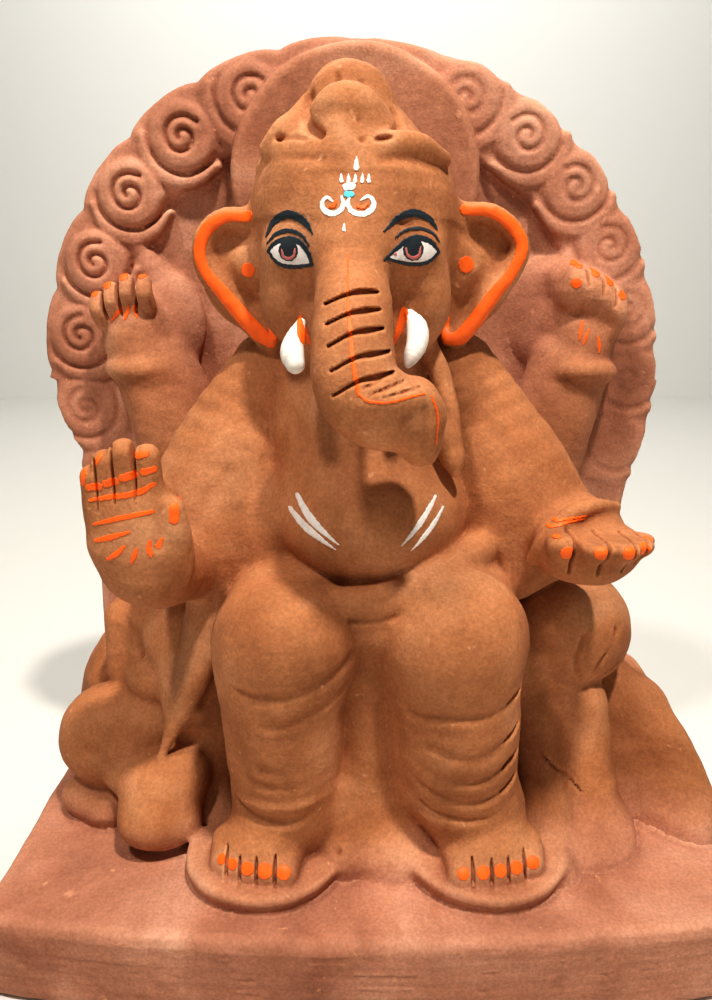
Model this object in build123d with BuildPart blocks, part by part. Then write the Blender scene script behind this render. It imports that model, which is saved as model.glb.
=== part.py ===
from build123d import *

import os
from copy import deepcopy

# Seated ganesha idol of raw fired terracotta, with a horseshoe throne back.
# Every piece is shaped by hand in its own lump of clay and luted to its neighbours
# with slip, over a peg or tongue where the joint carries load.
# Frame: origin at the centre of the base's underside, +X to the viewer's right,
# +Y to the back, +Z up, millimetres. "right" and "left" are the idol's own sides,
# so right is -X and left is +X.

# ---------------------------------------------------------------- driving sizes
idol_height = 300.0
base_width = 242.0
base_depth = 146.0
base_height = 30.0
front_bow = 6.0

plate_front = 50.0
plate_thickness = 16.0
arch_radius = 119.0
figure_axis = -4.0

seat_top = 96.0
seat_front = -18.0

peg_depth = 8.0
tongue_depth = 12.0
relief = 4.0

arch_centre_height = idol_height - arch_radius
halo_radius = 44.5
halo_height = 253.0
head_centre = (-3.5, -6.0, 226.0)

RIGHT = -1
LEFT = 1
SIDE_NAMES = {RIGHT: "right", LEFT: "left"}


# ---------------------------------------------------------------- shared shapes
def lump(centre, radii, seam_turn=0):
    """An egg-shaped lump of clay with its three half-axes, centred on a point.

    Its seam faces +X, or turns by an angle about +Z to keep clear of a neighbour.
    """
    with BuildPart() as egg:
        Sphere(1)
        scale(by=radii)
    return egg.part.moved(Location(centre, (0, 0, seam_turn)))


def roll(start, end, start_radius, end_radius):
    """Adds a tapered roll of clay with rounded ends to the part being built."""
    axis = Vector(*end) - Vector(*start)
    with Locations(Plane(origin=start, z_dir=axis).location):
        if abs(start_radius - end_radius) < 0.01:
            Cylinder(start_radius, axis.length, align=(Align.CENTER, Align.CENTER, Align.MIN))
        else:
            Cone(start_radius, end_radius, axis.length, align=(Align.CENTER, Align.CENTER, Align.MIN))
    with Locations(start):
        Sphere(start_radius)
    with Locations(end):
        Sphere(end_radius)


def peg(start, end, radius):
    """Adds a round peg between two points to the part being built."""
    axis = Vector(*end) - Vector(*start)
    with Locations(Plane(origin=start, z_dir=axis).location):
        Cylinder(radius, axis.length, align=(Align.CENTER, Align.CENTER, Align.MIN))


def cut(*neighbours):
    """Takes copies of finished neighbours away from the part being built, so the faces meet."""
    for neighbour in neighbours:
        add(deepcopy(neighbour.part), mode=Mode.SUBTRACT)


pieces = {}


def finish_piece(name, builder):
    """Labels a finished piece and keeps its largest solid, without loose crumbs of clay."""
    solids = builder.part.solids().sort_by(SortBy.VOLUME)
    whole = [solid for solid in solids if solid.volume > 0.02 * solids[-1].volume]
    builder.part = Part(Compound(whole).wrapped)
    builder.part.label = name
    pieces[name] = builder


# ---------------------------------------------------------------- torso and head
belly_form = lump((0, -12, 140), (34, 33, 38))
chest_form = lump((-3, 14, 176), (37, 36, 34))
with BuildPart() as torso:
    add(belly_form)
    add(chest_form)
    with Locations((0, 8, seat_top)):
        Box(80, 84, 40, align=(Align.CENTER, Align.CENTER, Align.MAX), mode=Mode.SUBTRACT)
    with Locations((0, plate_front, 176)):
        Box(90, 20, 90, align=(Align.CENTER, Align.MIN, Align.CENTER), mode=Mode.SUBTRACT)
    peg((0, 0, seat_top - tongue_depth), (0, 0, 120), 12)
    peg((-3.5, 2, 190), (-3.5, 2, 222), 11)
finish_piece("torso", torso)

skull_form = lump(head_centre, (29, 29, 29))
jaw_form = lump((-3.5, -10, 206), (24, 22, 19))
with BuildPart() as head_blank:
    add(skull_form)
    add(jaw_form)
    cut(torso)
    peg((-4.5, -2, 244), (-4.5, -2, 264), 9)

with BuildPart() as crown:
    with BuildSketch(Plane.XZ.offset(2)):
        with BuildLine():
            Line((0, 238), (27, 238))
            Spline((27, 238), (29, 246), (22, 262), (9, 279), (0, 281.5), tangents=((1, 2), (-1, 0)))
            Line((0, 281.5), (0, 238))
        make_face()
    revolve(axis=Axis((0, -2, 0), (0, 0, 1)))
    crown_shift = crown.part.moved(Location((-4.5, 0, 0)))
    add(crown_shift, mode=Mode.REPLACE)
    cut(head_blank)
finish_piece("crown", crown)

trunk_path = [
    ((-4.5, -33, 221), 14.0),
    ((-5.0, -48, 208), 12.5),
    ((-5.5, -57, 192), 12.0),
    ((-4.0, -55, 177), 11.5),
    ((6.0, -49, 172), 9.5),
    ((13.0, -43, 178), 7.5),
]
with BuildPart() as trunk:
    for (start, start_radius), (end, end_radius) in zip(trunk_path, trunk_path[1:]):
        roll(start, end, start_radius, end_radius)
    cut(head_blank, torso)
    peg((-4.5, -33, 221), (-4.5, -18, 221), 7)
finish_piece("trunk", trunk)

for side in (RIGHT, LEFT):
    tusk_x = figure_axis + 1 + side * 14.5
    with BuildPart() as tusk:
        roll((tusk_x, -28, 206), (tusk_x + side * 1.5, -46, 194), 5.0, 2.6)
        cut(head_blank, trunk)
        peg((tusk_x, -28, 206), (tusk_x, -20, 206), 3)
    finish_piece("tusk_" + SIDE_NAMES[side], tusk)

    ear_x = figure_axis + side * 38
    ear_form = lump((ear_x, -3, 222), (12.5, 5, 19), seam_turn=0 if side == LEFT else 180)
    with BuildPart() as ear:
        add(ear_form)
        cut(head_blank, crown)
        peg((ear_x, -3, 222), (ear_x - side * 20, -3, 222), 2.5)
    finish_piece("ear_" + SIDE_NAMES[side], ear)

with BuildPart() as head:
    add(head_blank.part)
    cut(trunk, pieces["tusk_right"], pieces["tusk_left"], pieces["ear_right"], pieces["ear_left"])
finish_piece("head", head)

# ---------------------------------------------------------------- throne seat
with BuildPart() as seat_block:
    with Locations((2, (seat_front + plate_front) / 2, base_height)):
        Box(150, plate_front - seat_front, seat_top - base_height,
            align=(Align.CENTER, Align.CENTER, Align.MIN))
    fillet(seat_block.edges().filter_by(Axis.Z).sort_by(Axis.Y)[:2], 6)
    cut(torso)
finish_piece("seat_block", seat_block)

throne_side_front = {RIGHT: 14.0, LEFT: -20.0}
throne_side_back = plate_front - relief - 1
for side in (RIGHT, LEFT):
    with BuildPart() as throne_side:
        with BuildSketch(Plane.XZ.offset(-throne_side_back)):
            inner_x = 2 + side * 75
            outer_x = side * (base_width / 2 - 1)
            with BuildLine():
                Polyline((inner_x, base_height), (outer_x, base_height), (outer_x, 38))
                Spline((outer_x, 38), (side * 114, 57), (side * 100, 70))
                Polyline((side * 100, 70), (inner_x, 74), (inner_x, base_height))
            make_face()
        extrude(amount=throne_side_back - throne_side_front[side])
    finish_piece("throne_side_" + SIDE_NAMES[side], throne_side)

    with BuildPart() as bolster:
        roll((side * 86, 2, 91), (side * 86, 28, 91), 18, 18)
        cut(seat_block, throne_side)
    finish_piece("bolster_" + SIDE_NAMES[side], bolster)

# ---------------------------------------------------------------- legs and feet
leg_axis = {RIGHT: -26.0, LEFT: 28.0}
pad_axis = {RIGHT: -35.0, LEFT: 38.0}
for side in (RIGHT, LEFT):
    leg_x = leg_axis[side]
    pad_x = pad_axis[side]
    foot_x = leg_x + side * 5
    with BuildPart() as foot_pad:
        with BuildSketch(Plane.XY.offset(base_height)):
            with Locations((pad_x, -43)):
                Ellipse(26, 20)
        extrude(amount=5)
        fillet(foot_pad.faces().sort_by(Axis.Z)[-1].edges(), 2)
    finish_piece("foot_pad_" + SIDE_NAMES[side], foot_pad)

    with BuildPart() as leg:
        roll((leg_x + side * 2, -31, 56), (leg_x, -36, 108), 18, 22)
        roll((leg_x, -36, 111), (side * 20, 0, 110), 23, 21)
        cut(torso, seat_block)
        peg((leg_x + side * 2, -31, 38), (leg_x + side * 2, -31, 56), 8)
    finish_piece("leg_" + SIDE_NAMES[side], leg)

    foot_form = lump((foot_x, -42, 40), (20, 19, 15))
    with BuildPart() as foot:
        add(foot_form)
        with Locations((foot_x, -42, base_height + 5)):
            Box(60, 60, 30, align=(Align.CENTER, Align.CENTER, Align.MAX), mode=Mode.SUBTRACT)
        cut(leg)
    finish_piece("foot_" + SIDE_NAMES[side], foot)

leg_right = pieces["leg_right"]
leg_left = pieces["leg_left"]

# ---------------------------------------------------------------- cloth
with BuildPart() as dhoti_pleat:
    with BuildSketch(Plane.YZ.offset(3)):
        with BuildLine():
            Polyline((seat_front, base_height), (-42, base_height), (-30, 75), (-30, 112), (seat_front, 112),
                     (seat_front, base_height))
        make_face()
    extrude(amount=8, both=True)
    cut(torso, leg_right, leg_left, seat_block, pieces["foot_pad_right"], pieces["foot_pad_left"],
        pieces["foot_right"], pieces["foot_left"])
finish_piece("dhoti_pleat", dhoti_pleat)

with BuildPart() as waist_roll:
    with Locations((0, -10, 117)):
        Torus(34, 5)
    with Locations((0, -20, 117)):
        Box(90, 80, 20, align=(Align.CENTER, Align.MIN, Align.CENTER), mode=Mode.SUBTRACT)
    cut(torso, leg_right, leg_left, dhoti_pleat)
finish_piece("waist_roll", waist_roll)

sash_outer = lump((0, -12, 140), (37, 36, 41))
sash_chest = lump((-3, 14, 176), (40, 39, 37))
with BuildPart() as sash:
    add(sash_outer)
    add(sash_chest)
    with BuildSketch(Plane.XZ):
        with Locations((24, 172)):
            Rectangle(9, 44, rotation=-8)
    extrude(amount=60, mode=Mode.INTERSECT)
    cut(torso, head, trunk)
finish_piece("sash", sash)

with BuildPart() as drape_right:
    with BuildSketch(Plane.XZ.offset(-seat_front)):
        with BuildLine():
            Polyline((-52, 100), (-63, 98), (-82, 44), (-70, 40), (-52, 100))
        make_face()
    extrude(amount=9)
    cut(leg_right)
finish_piece("drape_right", drape_right)

with BuildPart() as drape_left:
    with BuildSketch(Plane.XZ.offset(-seat_front)):
        with BuildLine():
            Polyline((52, 30), (96, 30), (90, 66), (62, 84), (52, 84), (52, 30))
        make_face()
    extrude(amount=8)
    cut(leg_left, pieces["throne_side_left"], pieces["foot_pad_left"], pieces["foot_left"])
finish_piece("drape_left", drape_left)

# ---------------------------------------------------------------- front arms
with BuildPart() as upper_arm_right:
    roll((-34, 8, 184), (-58, -4, 140), 18, 20)
    cut(torso, head, leg_right, pieces["bolster_right"])
finish_piece("upper_arm_right", upper_arm_right)

with BuildPart() as forearm_right:
    roll((-58, -8, 134), (-67, -34, 130), 16, 12)
    cut(upper_arm_right, leg_right, pieces["bolster_right"])
    peg((-67, -34, 130), (-67, -38, 144), 5)
finish_piece("forearm_right", forearm_right)

with BuildPart() as hand_right:
    with BuildSketch(Plane.XZ.offset(36)):
        with Locations((-67, 149)):
            RectangleRounded(30, 54, 12)
    extrude(amount=13)
    fillet(hand_right.edges().filter_by(GeomType.LINE, reverse=False).sort_by(Axis.Y)[:4], 3)
    cut(forearm_right)
finish_piece("hand_right", hand_right)

with BuildPart() as upper_arm_left:
    roll((29, 8, 184), (58, -2, 142), 18, 20)
    cut(torso, head, sash, leg_left, pieces["bolster_left"])
finish_piece("upper_arm_left", upper_arm_left)

with BuildPart() as forearm_left:
    roll((61, -9, 139), (72, -22, 140), 14, 13)
    cut(upper_arm_left, leg_left, pieces["bolster_left"])
    peg((70, -20, 140), (67, -42, 140), 5)
finish_piece("forearm_left", forearm_left)

with BuildPart() as hand_left:
    with BuildSketch(Plane.XY.offset(133)):
        with Locations((66, -42)):
            RectangleRounded(46, 28, 12)
    extrude(amount=14)
    cut(forearm_left)
finish_piece("hand_left", hand_left)

# ---------------------------------------------------------------- rear arms
rear_wrist = {RIGHT: (-96, 34, 186), LEFT: (91, 34, 182)}
rear_elbow = {RIGHT: (-82, 34, 156), LEFT: (80, 34, 152)}
rear_shoulder = {RIGHT: (-50, 34, 168), LEFT: (47, 36, 164)}
rear_palm = {RIGHT: (-92, 32, 207), LEFT: (90, 32, 206)}
for side in (RIGHT, LEFT):
    wrist = Vector(*rear_wrist[side])
    elbow = Vector(*rear_elbow[side])
    shoulder = Vector(*rear_shoulder[side])
    palm = Vector(*rear_palm[side])
    name = SIDE_NAMES[side]
    with BuildPart() as rear_arm:
        roll(tuple(shoulder), tuple(elbow), 13, 14)
        roll(tuple(elbow), tuple(wrist), 14, 11)
        peg(tuple(wrist), tuple(wrist + Vector(0, 0, 14)), 5)
        peg(tuple(elbow), (elbow.X, plate_front + peg_depth, elbow.Z), 7)
        cut(torso, pieces["upper_arm_" + name], pieces["bolster_" + name])
    finish_piece("rear_arm_" + name, rear_arm)

    with BuildPart() as bracelet:
        with Locations(Plane(origin=tuple(wrist), z_dir=wrist - elbow).location):
            Torus(12, 3.2)
        cut(rear_arm)
    finish_piece("bracelet_" + name, bracelet)

    palm_form = lump(tuple(palm), (17, 11, 18))
    with BuildPart() as rear_hand:
        add(palm_form)
        cut(rear_arm, bracelet)
    finish_piece("rear_hand_" + name, rear_hand)

with BuildPart() as attribute_right:
    attribute_start = (-80, 38, 204)
    roll(attribute_start, (-78, 40, 226), 6.5, 2.0)
    cut(pieces["rear_hand_right"])
finish_piece("attribute_right", attribute_right)

# ---------------------------------------------------------------- mouse
mouse_body_form = lump((-99, -6, 49), (19, 22, 19))
with BuildPart() as mouse_body:
    add(mouse_body_form)
    with Locations((-99, -6, base_height)):
        Box(60, 60, 30, align=(Align.CENTER, Align.CENTER, Align.MAX), mode=Mode.SUBTRACT)
    cut(drape_right, pieces["throne_side_right"])
finish_piece("mouse_body", mouse_body)

mouse_head_form = lump((-79, -30, 43), (15, 14, 14))
with BuildPart() as mouse_head:
    add(mouse_head_form)
    with Locations((-79, -30, base_height)):
        Box(60, 60, 30, align=(Align.CENTER, Align.CENTER, Align.MAX), mode=Mode.SUBTRACT)
    cut(mouse_body, drape_right, pieces["foot_pad_right"], pieces["foot_right"], leg_right)
finish_piece("mouse_head", mouse_head)

# ---------------------------------------------------------------- throne back
with BuildPart() as halo_disc:
    with BuildSketch(Plane.XZ.offset(-plate_front)):
        with Locations((figure_axis, halo_height)):
            Circle(halo_radius)
    extrude(amount=12)
    fillet(halo_disc.faces().sort_by(Axis.Y)[0].edges(), 3)
    peg((figure_axis, plate_front, halo_height), (figure_axis, plate_front + peg_depth, halo_height), 9)
finish_piece("halo_disc", halo_disc)


def arch_outline(inset, foot):
    """The horseshoe outline, drawn in by an inset, with its foot at a height."""
    radius = arch_radius - inset
    springing = arch_centre_height
    left_x = figure_axis - radius
    right_x = figure_axis + radius
    with BuildLine() as outline:
        ThreePointArc(
            (left_x, springing),
            (figure_axis, springing + radius),
            (right_x, springing),
        )
        Polyline(
            (right_x, springing),
            (right_x - 6, 120),
            (right_x - 6, foot),
            (left_x + 9, foot),
            (left_x + 8, 120),
            (left_x, springing),
        )
    return outline.line


plate_outline = arch_outline(0, base_height)
border_outer = arch_outline(1, base_height)
border_inner = arch_outline(25, base_height - 1)

with BuildPart() as backplate:
    with BuildSketch(Plane.XZ.offset(-plate_front)):
        make_face(plate_outline.edges())
    extrude(amount=-plate_thickness)
    fillet(backplate.faces().sort_by(Axis.Y)[-1].edges().filter_by(GeomType.CIRCLE), 5)
    with BuildSketch(Plane.XY.offset(base_height)):
        with Locations((figure_axis, plate_front + plate_thickness / 2)):
            Rectangle(180, 10)
    extrude(amount=-tongue_depth)
    cut(halo_disc, pieces["rear_arm_right"], pieces["rear_arm_left"])
finish_piece("backplate", backplate)

rear_pieces = [
    pieces[limb + SIDE_NAMES[side]]
    for limb in ("rear_arm_", "bracelet_", "rear_hand_")
    for side in (RIGHT, LEFT)
]
with BuildPart() as scroll_border:
    with BuildSketch(Plane.XZ.offset(-plate_front)):
        make_face(border_outer.edges())
        make_face(border_inner.edges(), mode=Mode.SUBTRACT)
    extrude(amount=relief)
    cut(halo_disc, *rear_pieces)
finish_piece("scroll_border", scroll_border)

# The scrolls are rolled coils laid in a row up each side of the arch.
coil_radius = 9.5
coil_track = arch_radius - 14.0
coil_count = 6
top_coil_angle = 60.0
coil_step = 13.6
coil_places = []
for side in (RIGHT, LEFT):
    for step in range(coil_count):
        spoke = Vector(coil_track, 0).rotate(Axis.Z, top_coil_angle - coil_step * step)
        coil_places.append((figure_axis + side * spoke.X, arch_centre_height + spoke.Y))
with BuildPart() as scroll_coils:
    with BuildSketch(Plane.XZ.offset(-plate_front + relief)):
        with Locations(*coil_places):
            Circle(coil_radius)
    extrude(amount=2.5)
    cut(halo_disc, *rear_pieces)
finish_piece("scroll_coils", scroll_coils)

# ---------------------------------------------------------------- base
with BuildPart() as base_slab:
    half_width = base_width / 2
    half_depth = base_depth / 2
    with BuildSketch():
        with BuildLine():
            ThreePointArc(
                (-half_width, front_bow - half_depth),
                (0, -half_depth),
                (half_width, front_bow - half_depth),
            )
            Polyline(
                (half_width, front_bow - half_depth),
                (half_width, half_depth),
                (-half_width, half_depth),
                (-half_width, front_bow - half_depth),
            )
        make_face()
    extrude(amount=base_height)
    fillet(base_slab.edges().filter_by(Axis.Z), 5)
    fillet(base_slab.faces().sort_by(Axis.Z)[-1].edges(), 3)
    cut(backplate)
finish_piece("base_slab", base_slab)

# ---------------------------------------------------------------- write the pieces
os.makedirs("parts", exist_ok=True)
for name, builder in pieces.items():
    export_step(builder.part, f"parts/{name}.step")
print(len(pieces), "pieces")
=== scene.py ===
import math

import bpy
import numpy as np
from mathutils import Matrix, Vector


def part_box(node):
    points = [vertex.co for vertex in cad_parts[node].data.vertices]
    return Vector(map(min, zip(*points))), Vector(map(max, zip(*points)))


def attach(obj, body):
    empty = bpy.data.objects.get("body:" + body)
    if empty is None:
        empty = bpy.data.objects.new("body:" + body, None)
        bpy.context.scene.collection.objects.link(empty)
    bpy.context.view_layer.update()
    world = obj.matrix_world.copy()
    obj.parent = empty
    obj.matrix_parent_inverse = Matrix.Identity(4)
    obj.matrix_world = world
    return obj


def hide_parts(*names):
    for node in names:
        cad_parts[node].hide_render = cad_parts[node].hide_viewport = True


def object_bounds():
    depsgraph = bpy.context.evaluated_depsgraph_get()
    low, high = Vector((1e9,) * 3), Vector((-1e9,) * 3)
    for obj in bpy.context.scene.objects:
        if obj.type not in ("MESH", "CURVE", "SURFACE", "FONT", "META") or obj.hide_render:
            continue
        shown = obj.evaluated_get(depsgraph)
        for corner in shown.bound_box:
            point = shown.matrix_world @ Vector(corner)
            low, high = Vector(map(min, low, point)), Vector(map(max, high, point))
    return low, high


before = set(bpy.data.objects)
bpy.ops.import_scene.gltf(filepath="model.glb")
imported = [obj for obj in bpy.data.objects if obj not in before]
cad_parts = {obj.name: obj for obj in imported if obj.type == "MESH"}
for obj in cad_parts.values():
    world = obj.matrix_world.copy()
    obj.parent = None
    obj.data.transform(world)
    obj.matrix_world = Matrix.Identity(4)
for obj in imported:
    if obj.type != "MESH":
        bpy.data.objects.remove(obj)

# A seated terracotta ganesha. Each CAD node is replaced by a sculpted lump of clay.
# A lump is a signed distance field in millimetres: negative inside, positive outside.
# Lumps melt softly into their neighbours, as luted clay does, and each one is meshed
# on its own, so that every piece of the assembly stays a separate closed mesh.
# "right" and "left" are the idol's own sides: right is -X, left is +X.

CAD_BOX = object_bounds()
MM = 0.001
RIGHT, LEFT = -1, 1
SIDE = {RIGHT: "right", LEFT: "left"}

VOXEL = 0.85
FINE_VOXEL = 0.6
PAINT_VOXEL = 0.3
# Grid steps that keep the largest pieces under 200,000 faces.
PLATE_VOXEL, BASE_VOXEL, BORDER_VOXEL, COIL_VOXEL = 1.5, 1.3, 1.1, 0.9
HEAD_VOXEL, LEG_VOXEL = max(FINE_VOXEL, 0.65), max(FINE_VOXEL, 0.75)

# How softly lumps melt together, how far they reach into each other, and how far
# a lump sinks there so that only one of them shows.
MELT = 1.3
LAP = 2.0
LAP_DIP = 0.07
# How low a lump reaches into the base, and how far back into the throne back.
BASE_LAP, PLATE_LAP = 27, 56
# A distance that stands for well outside.
FAR = 9.0


def box_mm(node):
    """The lowest and highest corners of a CAD node, in millimetres."""
    low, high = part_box(node)
    return np.array(low) / MM, np.array(high) / MM


# Where the middle of each CAD node lies in the drawing that the points below come from.
DRAWN_MIDDLE = {
    "attribute_right": (-79.4, 38.9, 212.8),
    "bolster_left": (86.4, 15, 91),
    "bolster_right": (-86.4, 15, 91),
    "bracelet_left": (91, 34, 182),
    "bracelet_right": (-96, 34, 186),
    "crown": (-4.5, -2, 259.8),
    "dhoti_pleat": (3, -30, 69.2),
    "drape_left": (74, -22, 57),
    "drape_right": (-67, -22.5, 70),
    "ear_left": (30.2, -3, 222),
    "ear_right": (-38.2, -3, 222),
    "foot_left": (33, -42, 44.6),
    "foot_pad_left": (38, -43, 32.5),
    "foot_pad_right": (-35, -43, 32.5),
    "foot_right": (-31, -42, 44.6),
    "forearm_left": (69, -24.8, 139.2),
    "forearm_right": (-61.2, -22.7, 132),
    "halo_disc": (-4, 48, 253),
    "hand_left": (66, -42, 140),
    "hand_right": (-67, -42.5, 149),
    "head": (-3.5, -6, 226.4),
    "leg_left": (26.7, -19, 86),
    "leg_right": (-25.4, -19, 86),
    "mouse_body": (-99, -7, 49),
    "mouse_head": (-79, -30, 43.5),
    "rear_arm_left": (68, 39, 167),
    "rear_arm_right": (-72, 39, 171),
    "rear_hand_left": (90, 32, 206.7),
    "rear_hand_right": (-92, 32, 208.3),
    "sash": (23.8, -21.4, 172),
    "seat_block": (2, 16, 63),
    "throne_side_left": (98.5, 12.5, 52),
    "throne_side_right": (-96.5, 29.5, 52),
    "torso": (-3, 2.5, 153),
    "trunk": (1, -43.5, 198.7),
    "tusk_left": (11.7, -34.3, 201.2),
    "tusk_right": (-17.7, -34.3, 201.2),
    "upper_arm_left": (49.6, 2, 162),
    "upper_arm_right": (-52.4, 0.9, 161),
    "waist_roll": (0.9, -43.7, 117),
}


def anchored(node):
    """Turns a drawn point of a node into its place on the CAD node as it is now."""
    low, high = box_mm(node)
    dx, dy, dz = np.round((low + high) / 2 - np.array(DRAWN_MIDDLE[node]), 1)
    return lambda x, y, z: (x + dx, y + dy, z + dz)


# ------------------------------------------------------------------ fields
def ball(centre, radius):
    cx, cy, cz = centre
    return lambda P: np.sqrt((P[0] - cx) ** 2 + (P[1] - cy) ** 2 + (P[2] - cz) ** 2) - radius


def turn_matrix(turn):
    """Rotation from degrees about X, then Y, then Z."""
    ax, ay, az = (math.radians(t) for t in turn)
    rx = np.array([[1, 0, 0], [0, math.cos(ax), -math.sin(ax)], [0, math.sin(ax), math.cos(ax)]])
    ry = np.array([[math.cos(ay), 0, math.sin(ay)], [0, 1, 0], [-math.sin(ay), 0, math.cos(ay)]])
    rz = np.array([[math.cos(az), -math.sin(az), 0], [math.sin(az), math.cos(az), 0], [0, 0, 1]])
    return rz @ ry @ rx


def local(P, centre, turn):
    """Points seen from a centre, in axes turned by some degrees about X, Y and Z."""
    q = [P[i] - centre[i] for i in range(3)]
    if turn == (0, 0, 0):
        return q
    m = turn_matrix(turn).T.astype(np.float32)
    return [m[i, 0] * q[0] + m[i, 1] * q[1] + m[i, 2] * q[2] for i in range(3)]


def egg(centre, radii, turn=(0, 0, 0)):
    """An ellipsoid."""
    a, b, c = radii

    def field(P):
        x, y, z = local(P, centre, turn)
        k0 = np.sqrt((x / a) ** 2 + (y / b) ** 2 + (z / c) ** 2)
        k1 = np.sqrt((x / a**2) ** 2 + (y / b**2) ** 2 + (z / c**2) ** 2)
        return k0 * (k0 - 1) / np.maximum(k1, 1e-6)

    return field


def slab(centre, half, rounding, turn=(0, 0, 0)):
    """A box with half-sizes and rounded edges."""
    hx, hy, hz = (h - rounding for h in half)

    def field(P):
        x, y, z = local(P, centre, turn)
        x, y, z = np.abs(x) - hx, np.abs(y) - hy, np.abs(z) - hz
        outside = np.sqrt(np.maximum(x, 0) ** 2 + np.maximum(y, 0) ** 2 + np.maximum(z, 0) ** 2)
        return outside + np.minimum(np.maximum(np.maximum(x, y), z), 0) - rounding

    return field


def limb(a, b, ra, rb):
    """A tapered roll of clay between two points."""
    ax, ay, az = a
    dx, dy, dz = b[0] - ax, b[1] - ay, b[2] - az
    length2 = dx * dx + dy * dy + dz * dz

    def field(P):
        x, y, z = P[0] - ax, P[1] - ay, P[2] - az
        h = np.clip((x * dx + y * dy + z * dz) / length2, 0, 1)
        reach = np.sqrt((x - h * dx) ** 2 + (y - h * dy) ** 2 + (z - h * dz) ** 2)
        return reach - (ra + (rb - ra) * h)

    return field


def smooth_path(points, steps=4):
    """More points along a Catmull-Rom curve through the given ones, of any width."""
    pts = np.array(points, float)
    if len(pts) < 3:
        return pts
    padded = np.vstack([2 * pts[0] - pts[1], pts, 2 * pts[-1] - pts[-2]])
    out = []
    for i in range(1, len(padded) - 2):
        p0, p1, p2, p3 = padded[i - 1 : i + 3]
        for t in np.linspace(0, 1, steps, endpoint=False):
            bend = (2 * p0 - 5 * p1 + 4 * p2 - p3) * t**2 + (3 * p1 - p0 - 3 * p2 + p3) * t**3
            out.append(0.5 * (2 * p1 + (p2 - p0) * t + bend))
    out.append(padded[-2])
    return np.array(out)


def tube(points, radii, steps=3):
    """A roll of clay bent along a smooth curve, its radius changing on the way."""
    route = smooth_path([tuple(p) + (r,) for p, r in zip(points, radii)], steps)
    parts = [limb(a[:3], b[:3], a[3], b[3]) for a, b in zip(route, route[1:])]

    def field(P):
        out = parts[0](P)
        for part in parts[1:]:
            np.minimum(out, part(P), out=out)
        return out

    return field


def flat_stroke(points, radii, steps=4):
    """A brush stroke in X and Z with a width that changes along it."""
    route = smooth_path([tuple(p) + (r,) for p, r in zip(points, radii)], steps)

    def field(P):
        out = None
        for a, b in zip(route, route[1:]):
            dx, dz = b[0] - a[0], b[1] - a[1]
            length2 = max(dx * dx + dz * dz, 1e-6)
            x, z = P[0] - a[0], P[2] - a[1]
            h = np.clip((x * dx + z * dz) / length2, 0, 1)
            reach = np.sqrt((x - h * dx) ** 2 + (z - h * dz) ** 2) - (a[2] + (b[2] - a[2]) * h)
            out = reach if out is None else np.minimum(out, reach)
        return out

    return field


def flat_line(points, steps=4):
    """Distance in X and Z from a curve drawn on the front."""
    return flat_stroke(points, [0.0] * len(points), steps)


def flat_patch(points, steps=5):
    """Signed distance in X and Z from a smooth closed shape drawn on the front."""
    pts = [tuple(p) for p in points]
    route = smooth_path(pts[-2:] + pts + pts[:2], steps)[2 * steps : -2 * steps]
    ring = list(zip(route, np.roll(route, -1, axis=0)))

    def field(P):
        out = np.full_like(P[0], 1e6)
        inside = np.zeros(P.shape[1], bool)
        for a, b in ring:
            dx, dz = b[0] - a[0], b[1] - a[1]
            x, z = P[0] - a[0], P[2] - a[1]
            h = np.clip((x * dx + z * dz) / max(dx * dx + dz * dz, 1e-6), 0, 1)
            out = np.minimum(out, (x - h * dx) ** 2 + (z - h * dz) ** 2)
            if dz != 0:
                spans = (a[1] > P[2]) != (b[1] > P[2])
                inside ^= spans & (x < dx * z / dz)
        return np.where(inside, -1, 1) * np.sqrt(out)

    return field


def blend(k, *fields):
    """A smooth union: k is the width of the fillet between them."""

    def field(P):
        out = fields[0](P)
        for other in fields[1:]:
            d = other(P)
            h = np.maximum(k - np.abs(out - d), 0)
            out = np.minimum(out, d) - h * h / (4 * k)
        return out

    return field


def keep(k, body, *bounds):
    """The part of a body inside every bound, with softened edges."""

    def field(P):
        out = body(P)
        for bound in bounds:
            d = bound(P)
            h = np.maximum(k - np.abs(out - d), 0)
            out = np.maximum(out, d) + h * h / (4 * k)
        return out

    return field


def carve(k, body, *cutters):
    """A smooth subtraction of cutters from a body."""
    return keep(k, body, *[lambda P, cutter=cutter: -cutter(P) for cutter in cutters])


def turned(heights, radii, axis, bottom):
    """A body with round level sections, its radius and axis changing with height."""

    def field(P):
        x, y, z = P
        radius = np.interp(z, heights, radii)
        cx = np.interp(z, heights, [a[0] for a in axis])
        cy = np.interp(z, heights, [a[1] for a in axis])
        side = (np.hypot(x - cx, y - cy) - radius) * 0.72
        return np.maximum(np.maximum(side, z - heights[-1]), bottom - z)

    return field


def half_space(point, normal):
    """Everything behind a plane."""
    n = np.array(normal, float)
    n /= np.linalg.norm(n)
    offset = float(np.dot(n, point))
    return lambda P: P[0] * n[0] + P[1] * n[1] + P[2] * n[2] - offset


def let_into_base(p, body):
    """Ends a body a little below the top of the base."""
    return keep(2, body, half_space(p(0, 0, BASE_LAP), (0, 0, -1)))


def let_into_plate(p, body):
    """Ends a body inside the throne back."""
    return keep(2, body, half_space(p(0, PLATE_LAP, 0), (0, 1, 0)))


def scored(body, marks):
    """A body with lines pressed into it, or raised where the depth is negative.

    Each mark is (distance field of the line, depth, half width).
    """

    def field(P):
        out = body(P)
        for line, depth, width in marks:
            out = out + depth * np.exp(-((line(P) / width) ** 2))
        return out

    return field


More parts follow.
